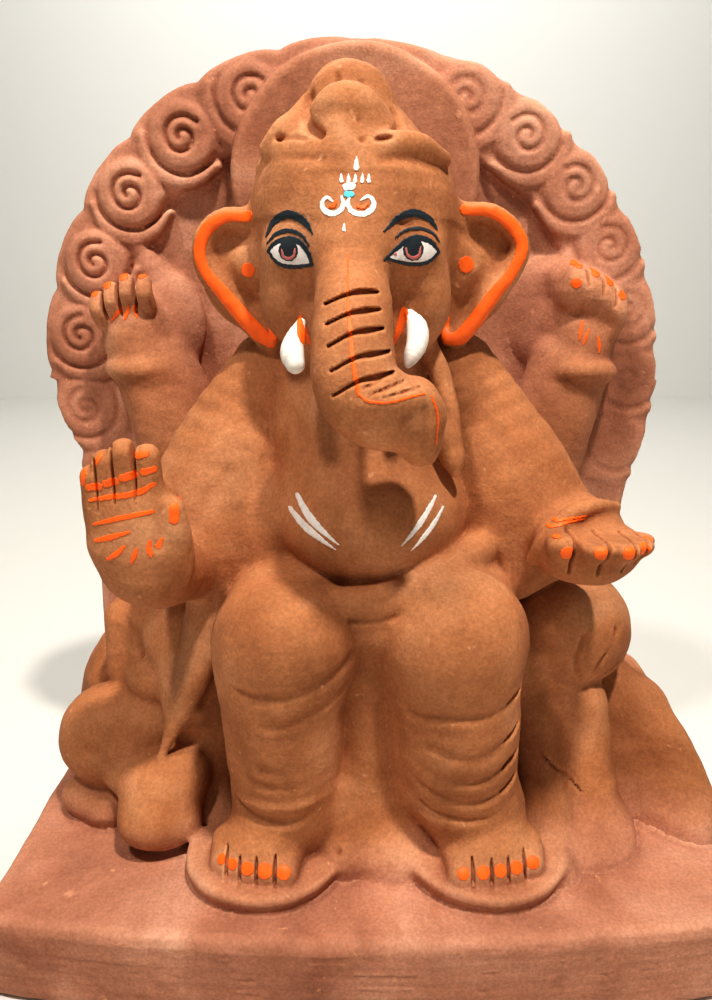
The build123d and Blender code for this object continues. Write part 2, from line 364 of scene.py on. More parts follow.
def pressed(body, strokes, depth, soft=0.7, front=0.0):
    """A body with flat strokes pressed in, on the side that faces the front."""

    def field(P):
        out = body(P)
        cut = np.zeros_like(out)
        for stroke in strokes:
            t = np.clip(0.5 - stroke(P) / soft, 0, 1)
            cut = np.maximum(cut, t * t * (3 - 2 * t))
        return out + depth * cut * (P[1] < front)

    return field


def thread(points):
    """Distance from a smooth curve in space."""
    return tube(points, [0.0] * len(points), 4)


def crease(p, depth, width, *points):
    """A mark for scored, along the drawn points of the lump that p anchors."""
    return thread([p(*q) for q in points]), depth, width


WAVES = np.random.default_rng(7).normal(size=(10, 3))
WAVES /= np.linalg.norm(WAVES, axis=1)[:, None]
WAVE_LENGTHS = np.array([46, 38, 30, 24, 18, 14, 10, 8, 6, 4.5])
WAVE_HEIGHTS = np.array([0.16, 0.16, 0.14, 0.12, 0.09, 0.07, 0.045, 0.035, 0.025, 0.02])


def unevenness(P):
    """How far a hand-smoothed clay surface strays from its ideal shape."""
    out = np.zeros_like(P[0])
    for n, (wave, length, height) in enumerate(zip(WAVES, WAVE_LENGTHS, WAVE_HEIGHTS)):
        k = 2 * math.pi / length
        phase = P[0] * (wave[0] * k) + P[1] * (wave[1] * k) + P[2] * (wave[2] * k) + n * 1.7
        bend = np.sin(P[2] * (k * 0.37) + n) + np.cos(P[0] * (k * 0.31) - n)
        out += height * np.sin(phase + bend)
    return out


# ------------------------------------------------------------------ meshing
CORNERS = np.array([(i, j, k) for i in (0, 1) for j in (0, 1) for k in (0, 1)])
CELL_EDGES = [
    (a, b) for a in range(8) for b in range(a + 1, 8) if np.abs(CORNERS[a] - CORNERS[b]).sum() == 1
]


def sample(field, low, high, step):
    """A field on a grid, worked out exactly only near its surface."""
    stride = 4
    counts = np.ceil((high - low) / (step * stride)).astype(int) + 1
    axes = [low[i] + (np.arange(counts[i]) + 0.5) * step * stride - 0.5 * step for i in range(3)]
    X, Y, Z = np.meshgrid(*axes, indexing="ij")
    coarse = field(np.stack([X.ravel(), Y.ravel(), Z.ravel()]).astype(np.float32)).reshape(counts)
    near = np.abs(coarse) < step * stride * 1.3 + 1.5
    grid, mask = coarse, near
    for axis in range(3):
        grid = np.repeat(grid, stride, axis=axis)
        mask = np.repeat(mask, stride, axis=axis)
    grid = grid.astype(np.float32)
    where = np.nonzero(mask)
    points = np.stack([low[i] + where[i] * step for i in range(3)]).astype(np.float32)
    values = np.empty(points.shape[1], np.float32)
    chunk = 400000
    for start in range(0, len(values), chunk):
        values[start : start + chunk] = field(points[:, start : start + chunk])
    grid[where] = values
    for axis in range(3):
        rim = np.moveaxis(grid, axis, 0)
        rim[0] = rim[-1] = FAR
    return grid


def surface_net(grid, low, step):
    """Vertices and quads of the zero surface of a sampled field."""
    inside = grid < 0
    count = np.zeros(np.array(grid.shape) - 1, np.int8)
    n = count.shape
    for i, j, k in CORNERS:
        count += inside[i : i + n[0], j : j + n[1], k : k + n[2]]
    cells = np.argwhere((count > 0) & (count < 8))
    values = [grid[cells[:, 0] + i, cells[:, 1] + j, cells[:, 2] + k] for i, j, k in CORNERS]
    total = np.zeros((len(cells), 3), np.float32)
    crossings = np.zeros(len(cells), np.float32)
    for a, b in CELL_EDGES:
        va, vb = values[a], values[b]
        crossed = (va < 0) != (vb < 0)
        t = np.where(crossed, va / np.where(crossed, va - vb, 1), 0)
        point = CORNERS[a] + t[:, None] * (CORNERS[b] - CORNERS[a])
        total += point * crossed[:, None]
        crossings += crossed
    verts = low + (cells + total / crossings[:, None]) * step
    index = np.full(n, -1, np.int32)
    index[tuple(cells.T)] = np.arange(len(cells))
    quads = []
    for axis in range(3):
        u, v = (axis + 1) % 3, (axis + 2) % 3
        first = [slice(1, -1)] * 3
        second = [slice(1, -1)] * 3
        first[axis] = slice(0, -1)
        second[axis] = slice(1, None)
        start_inside = inside[tuple(first)]
        crossed = start_inside != inside[tuple(second)]
        edge = np.argwhere(crossed)
        flip = ~start_inside[tuple(edge.T)]
        edge[:, u] += 1
        edge[:, v] += 1
        ring = []
        for du, dv in ((-1, -1), (0, -1), (0, 0), (-1, 0)):
            cell = edge.copy()
            cell[:, u] += du
            cell[:, v] += dv
            ring.append(index[tuple(cell.T)])
        ring = np.stack(ring, axis=1)
        ring[flip] = ring[flip][:, ::-1]
        quads.append(ring)
    return verts, np.concatenate(quads)


def settle(field, verts, step, rounds=2):
    """Moves vertices onto the zero surface of a field along its slope."""
    P = verts.T.astype(np.float32)
    h = np.float32(0.08)
    for _ in range(rounds):
        d = field(P)
        slope = []
        for axis in range(3):
            Q = P.copy()
            Q[axis] += h
            slope.append((field(Q) - d) / h)
        slope = np.stack(slope)
        size2 = np.maximum((slope**2).sum(axis=0), 0.2)
        move = np.clip(d / size2, -0.5 * step, 0.5 * step)
        P = P - slope * move
    return P.T


def mesh_object(name, verts, quads):
    """A smooth-shaded Blender mesh from millimetre vertices."""
    mesh = bpy.data.meshes.new(name)
    mesh.vertices.add(len(verts))
    mesh.vertices.foreach_set("co", (verts * MM).astype(np.float32).ravel())
    mesh.loops.add(quads.size)
    mesh.loops.foreach_set("vertex_index", quads.astype(np.int32).ravel())
    mesh.polygons.add(len(quads))
    mesh.polygons.foreach_set("loop_start", np.arange(0, quads.size, 4, dtype=np.int32))
    mesh.update(calc_edges=True)
    mesh.validate()
    mesh.shade_smooth()
    obj = bpy.data.objects.new(name, mesh)
    bpy.context.scene.collection.objects.link(obj)
    return obj


# ------------------------------------------------------------------ lumps
LUMPS = {}


class Lump:
    """One piece of clay: its field, the CAD node it stands for and its fineness."""

    def __init__(self, node, field, voxel=None, slot="figure_clay", rough=1.0):
        self.node = node
        self.field = field
        self.voxel = voxel or VOXEL
        self.slot = slot
        self.rough = rough
        LUMPS[node] = self


def find_bounds(lumps):
    """Finds the box that holds each lump, by looking on a coarse grid."""
    low = np.array(CAD_BOX[0]) / MM - 14
    high = np.array(CAD_BOX[1]) / MM + 14
    step = 4.0
    axes = [np.arange(low[i], high[i], step) for i in range(3)]
    X, Y, Z = np.meshgrid(*axes, indexing="ij")
    P = np.stack([X.ravel(), Y.ravel(), Z.ravel()]).astype(np.float32)
    for lump in lumps:
        hit = lump.field(P) < 4.0
        lump.low = P[:, hit].min(axis=1) - 3
        lump.high = P[:, hit].max(axis=1) + 3


def neighbours(low, high):
    """The lumps near a box."""
    reach = 6 * MELT
    return [o for o in LUMPS.values() if (o.low < high + reach).all() and (o.high > low - reach).all()]


def near_lump(P, lump):
    """Which points are close enough to a lump to feel it."""
    reach = 6 * MELT
    near = np.ones(P.shape[1], bool)
    for i in range(3):
        near &= (P[i] > lump.low[i] - reach) & (P[i] < lump.high[i] + reach)
    return near


def joined_field(lump):
    """The lump's own share of the whole melted figure, as a closed body."""
    others = [o for o in neighbours(lump.low, lump.high) if o is not lump]

    def field(P):
        own = lump.field(P)
        total = np.exp(np.clip(-own / MELT, -60, 40))
        nearest = np.full_like(own, 30.0)
        for other in others:
            near = near_lump(P, other)
            if near.any():
                d = other.field(P[:, near])
                total[near] += np.exp(np.clip(-d / MELT, -60, 40))
                nearest[near] = np.minimum(nearest[near], d)
        whole = -MELT * np.log(np.maximum(total, 1e-26))
        share = own - nearest
        ramp = np.clip((share + LAP) / (2 * LAP), 0, 1)
        skin = whole + LAP_DIP * ramp * ramp * (3 - 2 * ramp)
        skin = skin + lump.rough * unevenness(P)
        return np.maximum(skin, share - LAP)

    return field


def skin_field(low, high):
    """The surface of the whole melted figure within a box."""
    inside = neighbours(low, high)

    def field(P):
        total = np.full_like(P[0], 1e-26)
        for lump in inside:
            near = near_lump(P, lump)
            if near.any():
                total[near] += np.exp(np.clip(-lump.field(P[:, near]) / MELT, -60, 40))
        return -MELT * np.log(total) + unevenness(P)

    return field


def build_lump(lump):
    """Meshes a lump and lets it stand for its CAD node."""
    field = joined_field(lump)
    low = lump.low.astype(float)
    grid = sample(field, low, lump.high.astype(float), lump.voxel)
    verts, quads = surface_net(grid, low, lump.voxel)
    verts = settle(field, verts, lump.voxel)
    verts[:, 2] = np.maximum(verts[:, 2], 0.0)  # the base stands flat on the floor
    obj = mesh_object(lump.node + "_clay", verts, quads)
    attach(obj, "root")
    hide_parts(lump.node)
    return obj


# ------------------------------------------------------------------ throne
PLATE_LOW, PLATE_HIGH = box_mm("backplate")
ARCH_X = round(float(PLATE_LOW[0] + PLATE_HIGH[0]) / 2, 1)
ARCH_R = 119.0
ARCH_Z = round(float(PLATE_HIGH[2]), 1) - ARCH_R
PLATE_FRONT, PLATE_BACK = (round(float(v), 1) for v in (PLATE_LOW[1], PLATE_HIGH[1]))
BASE_TOP = round(float(box_mm("base_slab")[1][2]), 1)

SCROLL_FIRST = {RIGHT: 110.7, LEFT: 68.4}
SCROLL_STEP = {RIGHT: 15.0, LEFT: 13.6}
SCROLL_LIFT = {
    RIGHT: [0.75, 1.0, 1.0, 0.95, 0.75, 0.4, 0.2],
    LEFT: [0.45, 0.55, 0.5, 0.4, 0.25, 0.15, 0.1],
}
SIDE_HEIGHTS = [20, 60, 100, 120, 132, 149, 165, 181]
SIDE_EDGES = {
    RIGHT: [-113.5, -113.8, -113, -112.5, -113, -115, -119.5, -123.5],
    LEFT: [108, 107, 105, 105.5, 106, 108.5, 112.4, 114],
}


def arch_distance(x, z):
    """Signed distance from the horseshoe outline with its softly scalloped edge."""
    angle = np.degrees(np.arctan2(z - ARCH_Z, x - ARCH_X))
    angle = np.where(angle < -90, angle + 360, angle)
    first = np.where(angle > 90, angle - SCROLL_FIRST[RIGHT], SCROLL_FIRST[LEFT] - angle)
    phase = first / np.where(angle > 90, SCROLL_STEP[RIGHT], SCROLL_STEP[LEFT])
    notch = 2.4 * (1 - np.abs(np.cos(math.pi * phase))) ** 2
    notch = notch * np.where(angle > 90, 0.9, 0.25)
    radius = 120.0 + 1.3 * np.sin(np.radians(angle - 75))
    low_side = np.interp(z, SIDE_HEIGHTS, SIDE_EDGES[RIGHT])
    high_side = np.interp(z, SIDE_HEIGHTS, SIDE_EDGES[LEFT])
    sides = np.maximum(low_side - x, x - high_side)
    lean = np.interp(x, [-60, 60], [1.2, -1.8])
    crown = np.hypot(x - ARCH_X, z - ARCH_Z) - radius - lean
    return np.where(z > ARCH_Z, crown, sides) + notch * np.clip((z - 120) / 30, 0, 1)


def round_plate(edge, y, front, back, rounding):
    """A plate between two faces with a given outline distance and rounded rims."""
    middle, half = (front + back) / 2, (back - front) / 2 - rounding
    u = edge + rounding
    v = np.abs(y - middle) - half
    outside = np.sqrt(np.maximum(u, 0) ** 2 + np.maximum(v, 0) ** 2)
    return outside + np.minimum(np.maximum(u, v), 0) - rounding


def backplate():
    def field(P):
        body = round_plate(arch_distance(P[0], P[2]), P[1], PLATE_FRONT, PLATE_BACK, 4.0)
        return np.maximum(body, BASE_TOP - 6 - P[2])

    marks = [
        (thread([(-63, 50, 199), (-61.5, 50, 190), (-63.5, 50, 181), (-62.5, 50, 174)]), 0.5, 0.45),
        (thread([(63, 50, 226), (63, 50, 210), (62, 50, 194)]), 2.4, 6.0),
        (thread([(-56, 50, 238), (-64, 50, 222), (-66, 50, 200), (-62, 50, 176)]), 1.6, 7.0),
    ]
    Lump("backplate", scored(field, marks), slot="throne_clay", voxel=PLATE_VOXEL)


def scroll_local(P, side, angle, radius):
    """Coordinates of the front seen from a scroll: along the arch, and outward."""
    a = math.radians(angle)
    cx, cz = ARCH_X + radius * math.cos(a), ARCH_Z + radius * math.sin(a)
    x, z = P[0] - cx, P[2] - cz
    outward = x * math.cos(a) + z * math.sin(a)
    along = (x * math.sin(a) - z * math.cos(a)) * -side
    return along, outward


def scroll_border():
    def field(P):
        x, y, z = P
        edge = arch_distance(x, z)
        inner = 27 + edge - 1.5 * np.sin(z / 9)
        band = np.maximum(edge + 1.2, -inner)
        body = round_plate(band, y, PLATE_FRONT - 3.5, PLATE_FRONT + 4, 2.5)
        return np.maximum(body, BASE_TOP - z)

    Lump("scroll_border", field, slot="throne_clay", voxel=BORDER_VOXEL)


COIL_TRACK = 106.5
COIL_RADIUS = 11.6


def coil_groove():
    """The line pressed into one scroll, in its own coordinates: along and outward."""
    line = []
    for n in range(15):
        turn = math.radians(150 - n * 36)
        radius = 1.3 + 0.44 * n
        line.append((radius * math.cos(turn), radius * math.sin(turn)))
    return line


def scroll_coils():
    """Rolled scrolls: a round boss with a spiral groove, a tail and a leaf beside it."""
    spiral = flat_line(coil_groove(), 3)
    tail = flat_stroke(
        [(-11.5, 8.5), (-14.6, 1), (-12.6, -7.5), (-5.5, -13.2), (4, -14.5)], [1.4, 2.3, 2.8, 2.6, 1.2]
    )
    gap = flat_line(
        [(-7.5, 11.0), (-11.6, 5.5), (-12.2, -2.5), (-8.2, -9.4), (-1.0, -12.3), (6.5, -11.4)]
    )

    def one_scroll(Q, y, lift):
        r = np.hypot(Q[0], Q[2])
        boss = round_plate(r - COIL_RADIUS, y, PLATE_FRONT - 3.6 - 2.6 * lift, PLATE_FRONT + 2, 2.4)
        dome = 0.8 * lift * np.clip(1 - (r / COIL_RADIUS) ** 2, 0, 1)
        band = round_plate(tail(Q), y, PLATE_FRONT - 3.6 - 1.7 * lift, PLATE_FRONT + 2, 1.6)
        body = np.minimum(boss - dome, band)
        body = body + 2.0 * lift * np.exp(-((spiral(Q) / 0.95) ** 2))
        return body + 1.5 * lift * np.exp(-((gap(Q) / 0.8) ** 2))

    def field(P):
        out = np.full_like(P[0], 30.0)
        for side in (RIGHT, LEFT):
            for n, lift in enumerate(SCROLL_LIFT[side]):
                angle = SCROLL_FIRST[side] - side * n * SCROLL_STEP[side]
                along, outward = scroll_local(P, side, angle, COIL_TRACK)
                near = (along**2 + outward**2) < 24**2
                if near.any():
                    Q = np.stack([along[near], P[1][near], outward[near]])
                    out[near] = np.minimum(out[near], one_scroll(Q, P[1][near], lift))
        rim = arch_distance(P[0], P[2]) + 0.6
        return np.maximum(out, rim)

    Lump("scroll_coils", field, slot="throne_clay", voxel=COIL_VOXEL)


def halo_disc():
    p = anchored("halo_disc")
    cx, _, cz = p(-4, 44, 253)

    def field(P):
        r = np.hypot(P[0] - cx, P[2] - cz)
        return round_plate(r - 44.5, P[1] - 0.0009 * (44.5**2 - r**2).clip(0), 39.0, 54.0, 3.2)

    Lump("halo_disc", field, slot="throne_clay")


def base_slab():
    half_width, half_depth, bow = 121.0, 72.5, 10.0

    def field(P):
        x, y, z = P
        front = -half_depth + bow * (x / half_width) ** 2
        rounding = 3.5
        u = np.abs(x) - half_width + rounding
        v = np.maximum(front - y, y - half_depth) + rounding
        w = np.abs(z - BASE_TOP / 2) - BASE_TOP / 2 + rounding
        outside = np.sqrt(np.maximum(u, 0) ** 2 + np.maximum(v, 0) ** 2 + np.maximum(w, 0) ** 2)
        body = outside + np.minimum(np.maximum(np.maximum(u, v), w), 0) - rounding
        strokes = 0.10 * np.sin(z * 2.1 + 0.9 * np.sin(x / 31)) + 0.08 * np.sin(
            z * 3.7 + 1.3 * np.sin(x / 23 + 1)
        )
        face = np.clip((front - y + 3) / 2, 0, 1)
        return body + strokes * face

    Lump("base_slab", field, slot="base_clay", voxel=BASE_VOXEL, rough=0.8)


def seat_and_sides():
    p = anchored("seat_block")
    Lump("seat_block", slab(p(2, 19, 62), (74, 34, 35), 7), slot="throne_clay", voxel=VOXEL * 1.2)

    p = anchored("throne_side_left")
    crest = [
        (92, 18, 73), (100, 12, 64), (107, 6, 57.5), (113, -1, 52), (116.5, -10, 43), (118, -18, 34)
    ]
    foot_line = [
        (88, 0, 34), (94, -7, 33), (101, -12, 32), (107, -17, 32), (112, -21, 31), (116, -25, 31)
    ]
    ribs = [limb(p(*a), p(*b), 5.5, 6.5) for a, b in zip(crest, foot_line)]
    rest = [
        tube([p(*q) for q in crest], [6.5, 6.5, 6, 6, 5.5, 5]), slab(p(98, 24, 46), (17, 20, 22), 8)
    ]
    side = let_into_base(p, blend(9, *ribs, *rest))
    Lump("throne_side_left", side, slot="throne_clay")

    p = anchored("throne_side_right")
    side = blend(
        12,
        tube([p(-98, 34, 72), p(-104, 32, 60), p(-109, 30, 46), p(-112, 28, 34)], [12, 11, 10, 8]),
        slab(p(-92, 30, 48), (18, 18, 24), 8),
    )
    Lump("throne_side_right", let_into_base(p, side), slot="throne_clay")

    p = anchored("bolster_right")
    body = blend(
        5,
        slab(p(-80.5, 20, 89), (14.5, 22, 16.5), 7, (0, 0, -8)),
        egg(p(-72.5, -4, 96), (7.5, 9, 9)),
        egg(p(-76, 0, 80), (12, 14, 9)),
        limb(p(-90, 16, 75), p(-72, 6, 75), 4.5, 5.0),
    )
    creases = [
        crease(p, 1.4, 1.6, (-88, -1, 103), (-82, -3, 95), (-80, -3, 87), (-70, -10, 84)),
        crease(p, 1.0, 1.4, (-95, 6, 80), (-84, -2, 78), (-72, -9, 79)),
    ]
    Lump("bolster_right", scored(body, creases), slot="throne_clay")

    p = anchored("bolster_left")
    body = blend(
        6,
        egg(p(83, 10, 94), (14.5, 20, 19)),
        egg(p(73, 0, 93), (18, 17, 16)),
        egg(p(66, -4, 104), (14, 14, 13)),
    )
    creases = [
        crease(p, 1.3, 1.1, (76, -14, 82), (71, -17, 92), (73, -17, 102)),
        crease(p, 1.3, 1.1, (78, -13, 82), (80, -14, 91), (86, -9, 101)),
        crease(p, 1.3, 1.1, (80, -11, 81), (88, -7, 87), (93, -2, 95)),
        crease(p, 1.0, 1.4, (72, -14, 82), (63, -15, 86), (57, -13, 92)),
    ]
    Lump("bolster_left", scored(body, creases), slot="throne_clay")


# ------------------------------------------------------------------ figure
def torso():
    p = anchored("torso")
    belly = egg(p(0.5, -14, 147), (31, 31, 23))
    chest = egg(p(-3.5, -4, 172), (28.5, 27, 27))
    body = blend(12, belly, chest, egg(p(-3, 24, 160), (38, 26, 46)), egg(p(0, 0, 116), (42, 26, 22)))
    body = blend(8, body, egg(p(-33, -12, 138), (11, 14, 20)))
    body = blend(8, body, limb(p(-4, -2, 190), p(-4, -4, 206), 22, 20))
    body = keep(3, body, half_space(p(0, 54, 0), (0, 1, 0)), half_space(p(0, 0, 90), (0, 0, -1)))
    folds = [
        crease(
            p, 1.5, 1.8, (-30, -34, 133), (-16, -43, 129.5), (2, -45, 129.5), (20, -41, 133),
            (31, -30, 138),
        ),
        crease(p, 0.5, 1.6, (-30, -30, 139), (-18, -43, 135.5), (0, -46, 135), (14, -44, 136)),
    ]
    Lump("torso", scored(body, folds))


def waist_roll():
    p = anchored("waist_roll")
    roll = blend(
        5,
        tube(
            [
                p(-30, -30, 127), p(-14, -39.5, 124), p(4, -41, 125.5), p(20, -37, 131),
                p(33, -26, 136), p(42, -14, 138),
            ],
            [4.5, 5.0, 5.2, 5.2, 5.0, 5.0],
        ),
        egg(p(2, -34, 116), (15, 11, 10)),
    )
    lines = [crease(p, 0.9, 1.1, (-12, -45, 121), (4, -46.5, 121.5), (18, -42, 126), (30, -32, 131))]
    Lump("waist_roll", scored(roll, lines), slot="cloth_clay")


TRUNK_ROOT = [((-4.6, -22, 236), 7.0), ((-4.8, -32, 224), 8.0), ((-5.0, -43, 211), 10.4)]
TRUNK_PATH = TRUNK_ROOT[1:] + [
    ((-5.1, -52, 200), 11.2),
    ((-3.8, -57, 191.5), 11.4),
    ((1.3, -58.0, 186.5), 11.0),
    ((7.8, -56.0, 184), 9.8),
]

TRUNK_GROOVES = [
    ((-11.8, 211.4), (-5, 213.1), (1.4, 214.2)),
    ((-11.4, 206.6), (-4.7, 208.5), (1.8, 210.0)),
    ((-10.8, 201.5), (-4, 203.9), (2.6, 205.5)),
    ((-10.0, 195.9), (-2.9, 198.4), (4.1, 200.0)),
    ((-9.4, 190.2), (-2.1, 193.1), (5.0, 195.2)),
]


def trunk_grooves(body):
    """The five slanting wrinkles across the front of the trunk."""
    strokes = []
    for a, b, c in TRUNK_GROOVES:
        rise = [(a[0], a[1]), (b[0] - 1.5, b[1] + 0.5), (b[0] + 2.8, b[1] + 1.3), (c[0], c[1] + 0.1)]
        strokes.append(flat_stroke(rise, [0.3, 0.45, 0.75, 0.35]))
    return pressed(body, strokes, 1.8, 0.6, front=-40)


def head():
    p = anchored("head")
    brow = egg(p(-4.8, -5, 240), (30.5, 27, 20))
    face = egg(p(-3.6, -8, 222), (28.0, 25, 25))
    jaw = egg(p(-3.8, -11, 204), (22.0, 20, 14))
    root = tube([p(*c) for c, _ in TRUNK_ROOT[:2]], [r for _, r in TRUNK_ROOT[:2]])
    body = blend(15, blend(12, brow, face, jaw), root)
    lids = [egg(p(-22, -23.5, 225), (8.5, 7.5, 7.5)), egg(p(12.0, -24.5, 225.5), (8.5, 7.5, 7.5))]
    cheeks = [egg(p(-25, -20, 212), (7, 9, 10)), egg(p(16.5, -20, 212), (7, 9, 10))]
    body = blend(7, body, *lids, *cheeks)
    hollows = [egg(p(10.5, -37, 210), (4.0, 6, 8.5)), egg(p(-18.5, -37, 210), (3.2, 5.5, 8))]
    body = carve(6, body, *hollows)
    marks = [
        crease(
            p, 0.5, 2.2, (-30, -20, 244), (-18, -30, 245.5), (-4, -33, 244), (12, -30, 245.5),
            (22, -21, 246),
        ),
        crease(p, 0.5, 1.0, (8, -33, 232.2), (13, -32, 232.6), (18, -29, 231)),
    ]
    Lump("head", trunk_grooves(scored(body, marks)), voxel=HEAD_VOXEL)


def crown():
    p = anchored("crown")
    heights = [236, 242, 246, 250, 254, 258, 262, 266, 270, 274, 278]
    cone = turned(
        heights,
        [29.4, 29.4, 29.0, 27.6, 25.2, 22.0, 18.6, 15.0, 11.6, 8.0, 3.5],
        [p(-4.8 - 0.05 * n, -5 + 0.15 * n, 0)[:2] for n in range(len(heights))],
        236,
    )
    knob = egg(p(-5.6, -9.5, 267.0), (12.4, 9.5, 11.4), (-12, 0, 0))
    hood = egg(p(-6.2, 2.5, 269.0), (13.2, 8.5, 12.6))
    leaf = egg(p(-6.4, -20.5, 259.5), (10.6, 7.0, 10.5), (28, 0, 0))
    stem = tube([p(-8, -25.0, 255), p(-8.4, -28.6, 250.5), p(-8.4, -31.0, 247)], [5.0, 3.8, 1.8])
    wing = tube(
        [p(-18.2, -10, 266.8), p(-20.8, -14.5, 261.8), p(-25, -17.5, 257.5), p(-29.5, -16.5, 253.5)],
        [1.8, 2.6, 2.8, 2.0],
    )
    brow_right = tube(
        [p(-31, -10, 250), p(-24.5, -19, 251.8), p(-16, -24.5, 252), p(-10, -27, 251)],
        [1.8, 2.8, 3.4, 2.8],
    )
    brow_left = tube(
        [p(-2, -28.0, 251.5), p(6, -27, 253), p(14.0, -22.5, 253.2), p(21, -15, 251.0)],
        [2.4, 3.0, 3.2, 2.6],
    )
    body = blend(3, blend(2.4, cone, hood), knob)
    body = blend(2.6, blend(4.0, body, leaf), stem, wing, brow_right, brow_left)
    rim = [
        (-19.5, -8, 262), (-18.6, -5.5, 268.5), (-16.0, -5, 273.5), (-11.0, -5, 277.3), (-5, -5, 278.6),
        (0.5, -5, 276.8), (4.8, -5, 272.2), (7.2, -7, 267),
    ]
    grooves = [
        crease(p, 2.6, 1.1, *rim),
        crease(
            p, 2.8, 1.5, (-17.4, -14, 267.5), (-17.4, -19, 262.5), (-16.4, -23.5, 257.8),
            (-12.8, -27.5, 254.2),
        ),
        crease(p, 1.3, 1.4, (6.8, -17, 263), (7.8, -21, 258), (4.5, -26, 254.6), (-2.5, -29.5, 252.8)),
        crease(p, 0.8, 1.1, (-8.8, -16, 272), (-9.6, -21, 267), (-9.0, -26, 261.5)),
        crease(p, 0.7, 1.4, (-2.8, -18, 269), (-2.6, -23, 264), (-3.6, -27, 258)),
        crease(p, 0.6, 1.3, (-29, -18, 249.4), (-20, -27, 249.3), (-13, -31.5, 248.4)),
        crease(
            p, 1.2, 1.3, (3, -32.2, 248.4), (11, -28.5, 249.0), (18, -22.5, 248.4), (23, -15, 247.2)
        ),
        crease(p, 1.0, 1.3, (-30, -13, 254.5), (-24, -21, 255.2), (-17.5, -26, 254.0)),
    ]
    holes = [
        egg(p(3.4, -30.6, 254.0), (3.0, 2.6, 1.3), (0, -8, 0)),
        ball(p(14.0, -17.0, 260.4), 1.2),
        egg(p(16.4, -17.0, 258.2), (0.9, 2.2, 1.8)),
        ball(p(-28.2, -17.5, 255), 1.1),
        egg(p(-18.6, -6, 270.5), (1.7, 5, 3.6), (0, 18, 0)),
        egg(p(7.0, -6, 270.0), (1.9, 5, 2.8), (0, -25, 0)),
    ]
    Lump("crown", carve(0.8, scored(body, grooves), *holes), voxel=FINE_VOXEL)


EAR_RIMS = {
    RIGHT: [
        (-36.0, 236.0),
        (-43.0, 236.0),
        (-48.7, 232.5),
        (-51.3, 226.6),
        (-50.1, 220.6),
        (-45.4, 214.6),
        (-40.0, 208.0),
        (-34.5, 202.0),
        (-31.0, 199.2),
    ],
    LEFT: [
        (28.5, 238.0),
        (37.0, 237.3),
        (44.0, 232.2),
        (46.2, 226.6),
        (43.4, 219.9),
        (38.5, 213.5),
        (33.0, 205.6),
        (28.6, 200.8),
        (25.0, 200.2),
    ],
}


def ears():
    for side in (RIGHT, LEFT):
        p = anchored("ear_" + SIDE[side])
        rim = tube([p(x, -7.5, z) for x, z in EAR_RIMS[side]], [2.4] + [2.9] * 7 + [2.4])
        middle = -38.0 if side == RIGHT else 31.0
        leaf = egg(p(middle, -3.0, 220), (14.5, 4.2, 18), (0, side * 20, 0))
        root = limb(p(middle - side * 8, -3, 232), p(middle - side * 8, -3, 208), 5.5, 5)
        flesh = egg(p(middle - side * 1.5, -5.5, 220.5), (5.5, 4.5, 6.5), (0, side * 20, 0))
        pad = egg(p(middle - side * 6, -6.5, 228), (5, 4, 6), (0, side * 35, 0))
        hollow = crease(
            p, 1.0, 2.2, (middle - side * 4, -9, 231), (middle + side * 4, -9, 228),
            (middle + side * 5, -9, 221), (middle - side * 1, -9, 212),
        )
        body = scored(blend(4, blend(5, leaf, root, flesh, pad), rim), [hollow])
        Lump("ear_" + SIDE[side], body, voxel=FINE_VOXEL * 1.1)


def trunk():
    p = anchored("trunk")
    body = tube([p(*c) for c, _ in TRUNK_PATH], [r for _, r in TRUNK_PATH], 4)
    tip = blend(
        3, egg(p(12.0, -53.5, 183.0), (6.2, 8.5, 9.5)), egg(p(12.8, -52.5, 175.5), (5.2, 7, 6.0))
    )
    lip = tube(
        [p(-1, -67.5, 188.5), p(6, -66, 189), p(12.5, -61, 188.5), p(16, -57, 184)],
        [2.4, 2.8, 2.6, 2.0],
    )
    body = blend(4, body, tip, lip)
    body = trunk_grooves(body)
    fans = [
        flat_stroke([(-2.5, 192.2), (0.5, 193.2), (3.0, 194.6)], [0.15, 0.4, 0.15]),
        flat_stroke([(-0.8, 190.7), (3.5, 192.0), (8.0, 193.4)], [0.15, 0.4, 0.15]),
        flat_stroke([(2.4, 190.0), (7.5, 191.0), (12.0, 191.6)], [0.15, 0.35, 0.15]),
    ]
    body = pressed(body, fans, 0.6, 0.5, front=-40)
    folds = [
        crease(p, -0.7, 1.2, (17.5, -57, 186), (18.6, -56, 181), (17.8, -55, 175), (15.5, -55, 168)),
        crease(p, 0.8, 2.0, (8.5, -67, 184), (9.5, -66, 178), (10.5, -62, 171), (10, -57, 167)),
        crease(p, 0.5, 1.4, (13.0, -64, 186), (13.6, -63, 180), (14.0, -61, 174)),
    ]
    Lump("trunk", scored(body, folds), voxel=FINE_VOXEL * 0.9)


def tusks():
    p = anchored("tusk_right")
    body = tube(
        [p(-19.5, -32, 206), p(-21.0, -36, 202), p(-21.6, -39, 198.3), p(-20.6, -41, 195.4)],
        [1.2, 2.6, 3.3, 2.7],
    )
    Lump("tusk_right", body, voxel=FINE_VOXEL * 0.7, slot="white_paint_clay", rough=0.4)
    p = anchored("tusk_left")
    body = tube(
        [
            p(11.0, -32, 208.3), p(12.9, -35.5, 205), p(12.8, -38.5, 201), p(11.3, -40.5, 197.6),
            p(10.2, -41.5, 195.4),
        ],
        [1.4, 2.8, 2.9, 2.2, 1.0],
    )
    Lump("tusk_left", body, voxel=FINE_VOXEL * 0.7, slot="white_paint_clay", rough=0.4)


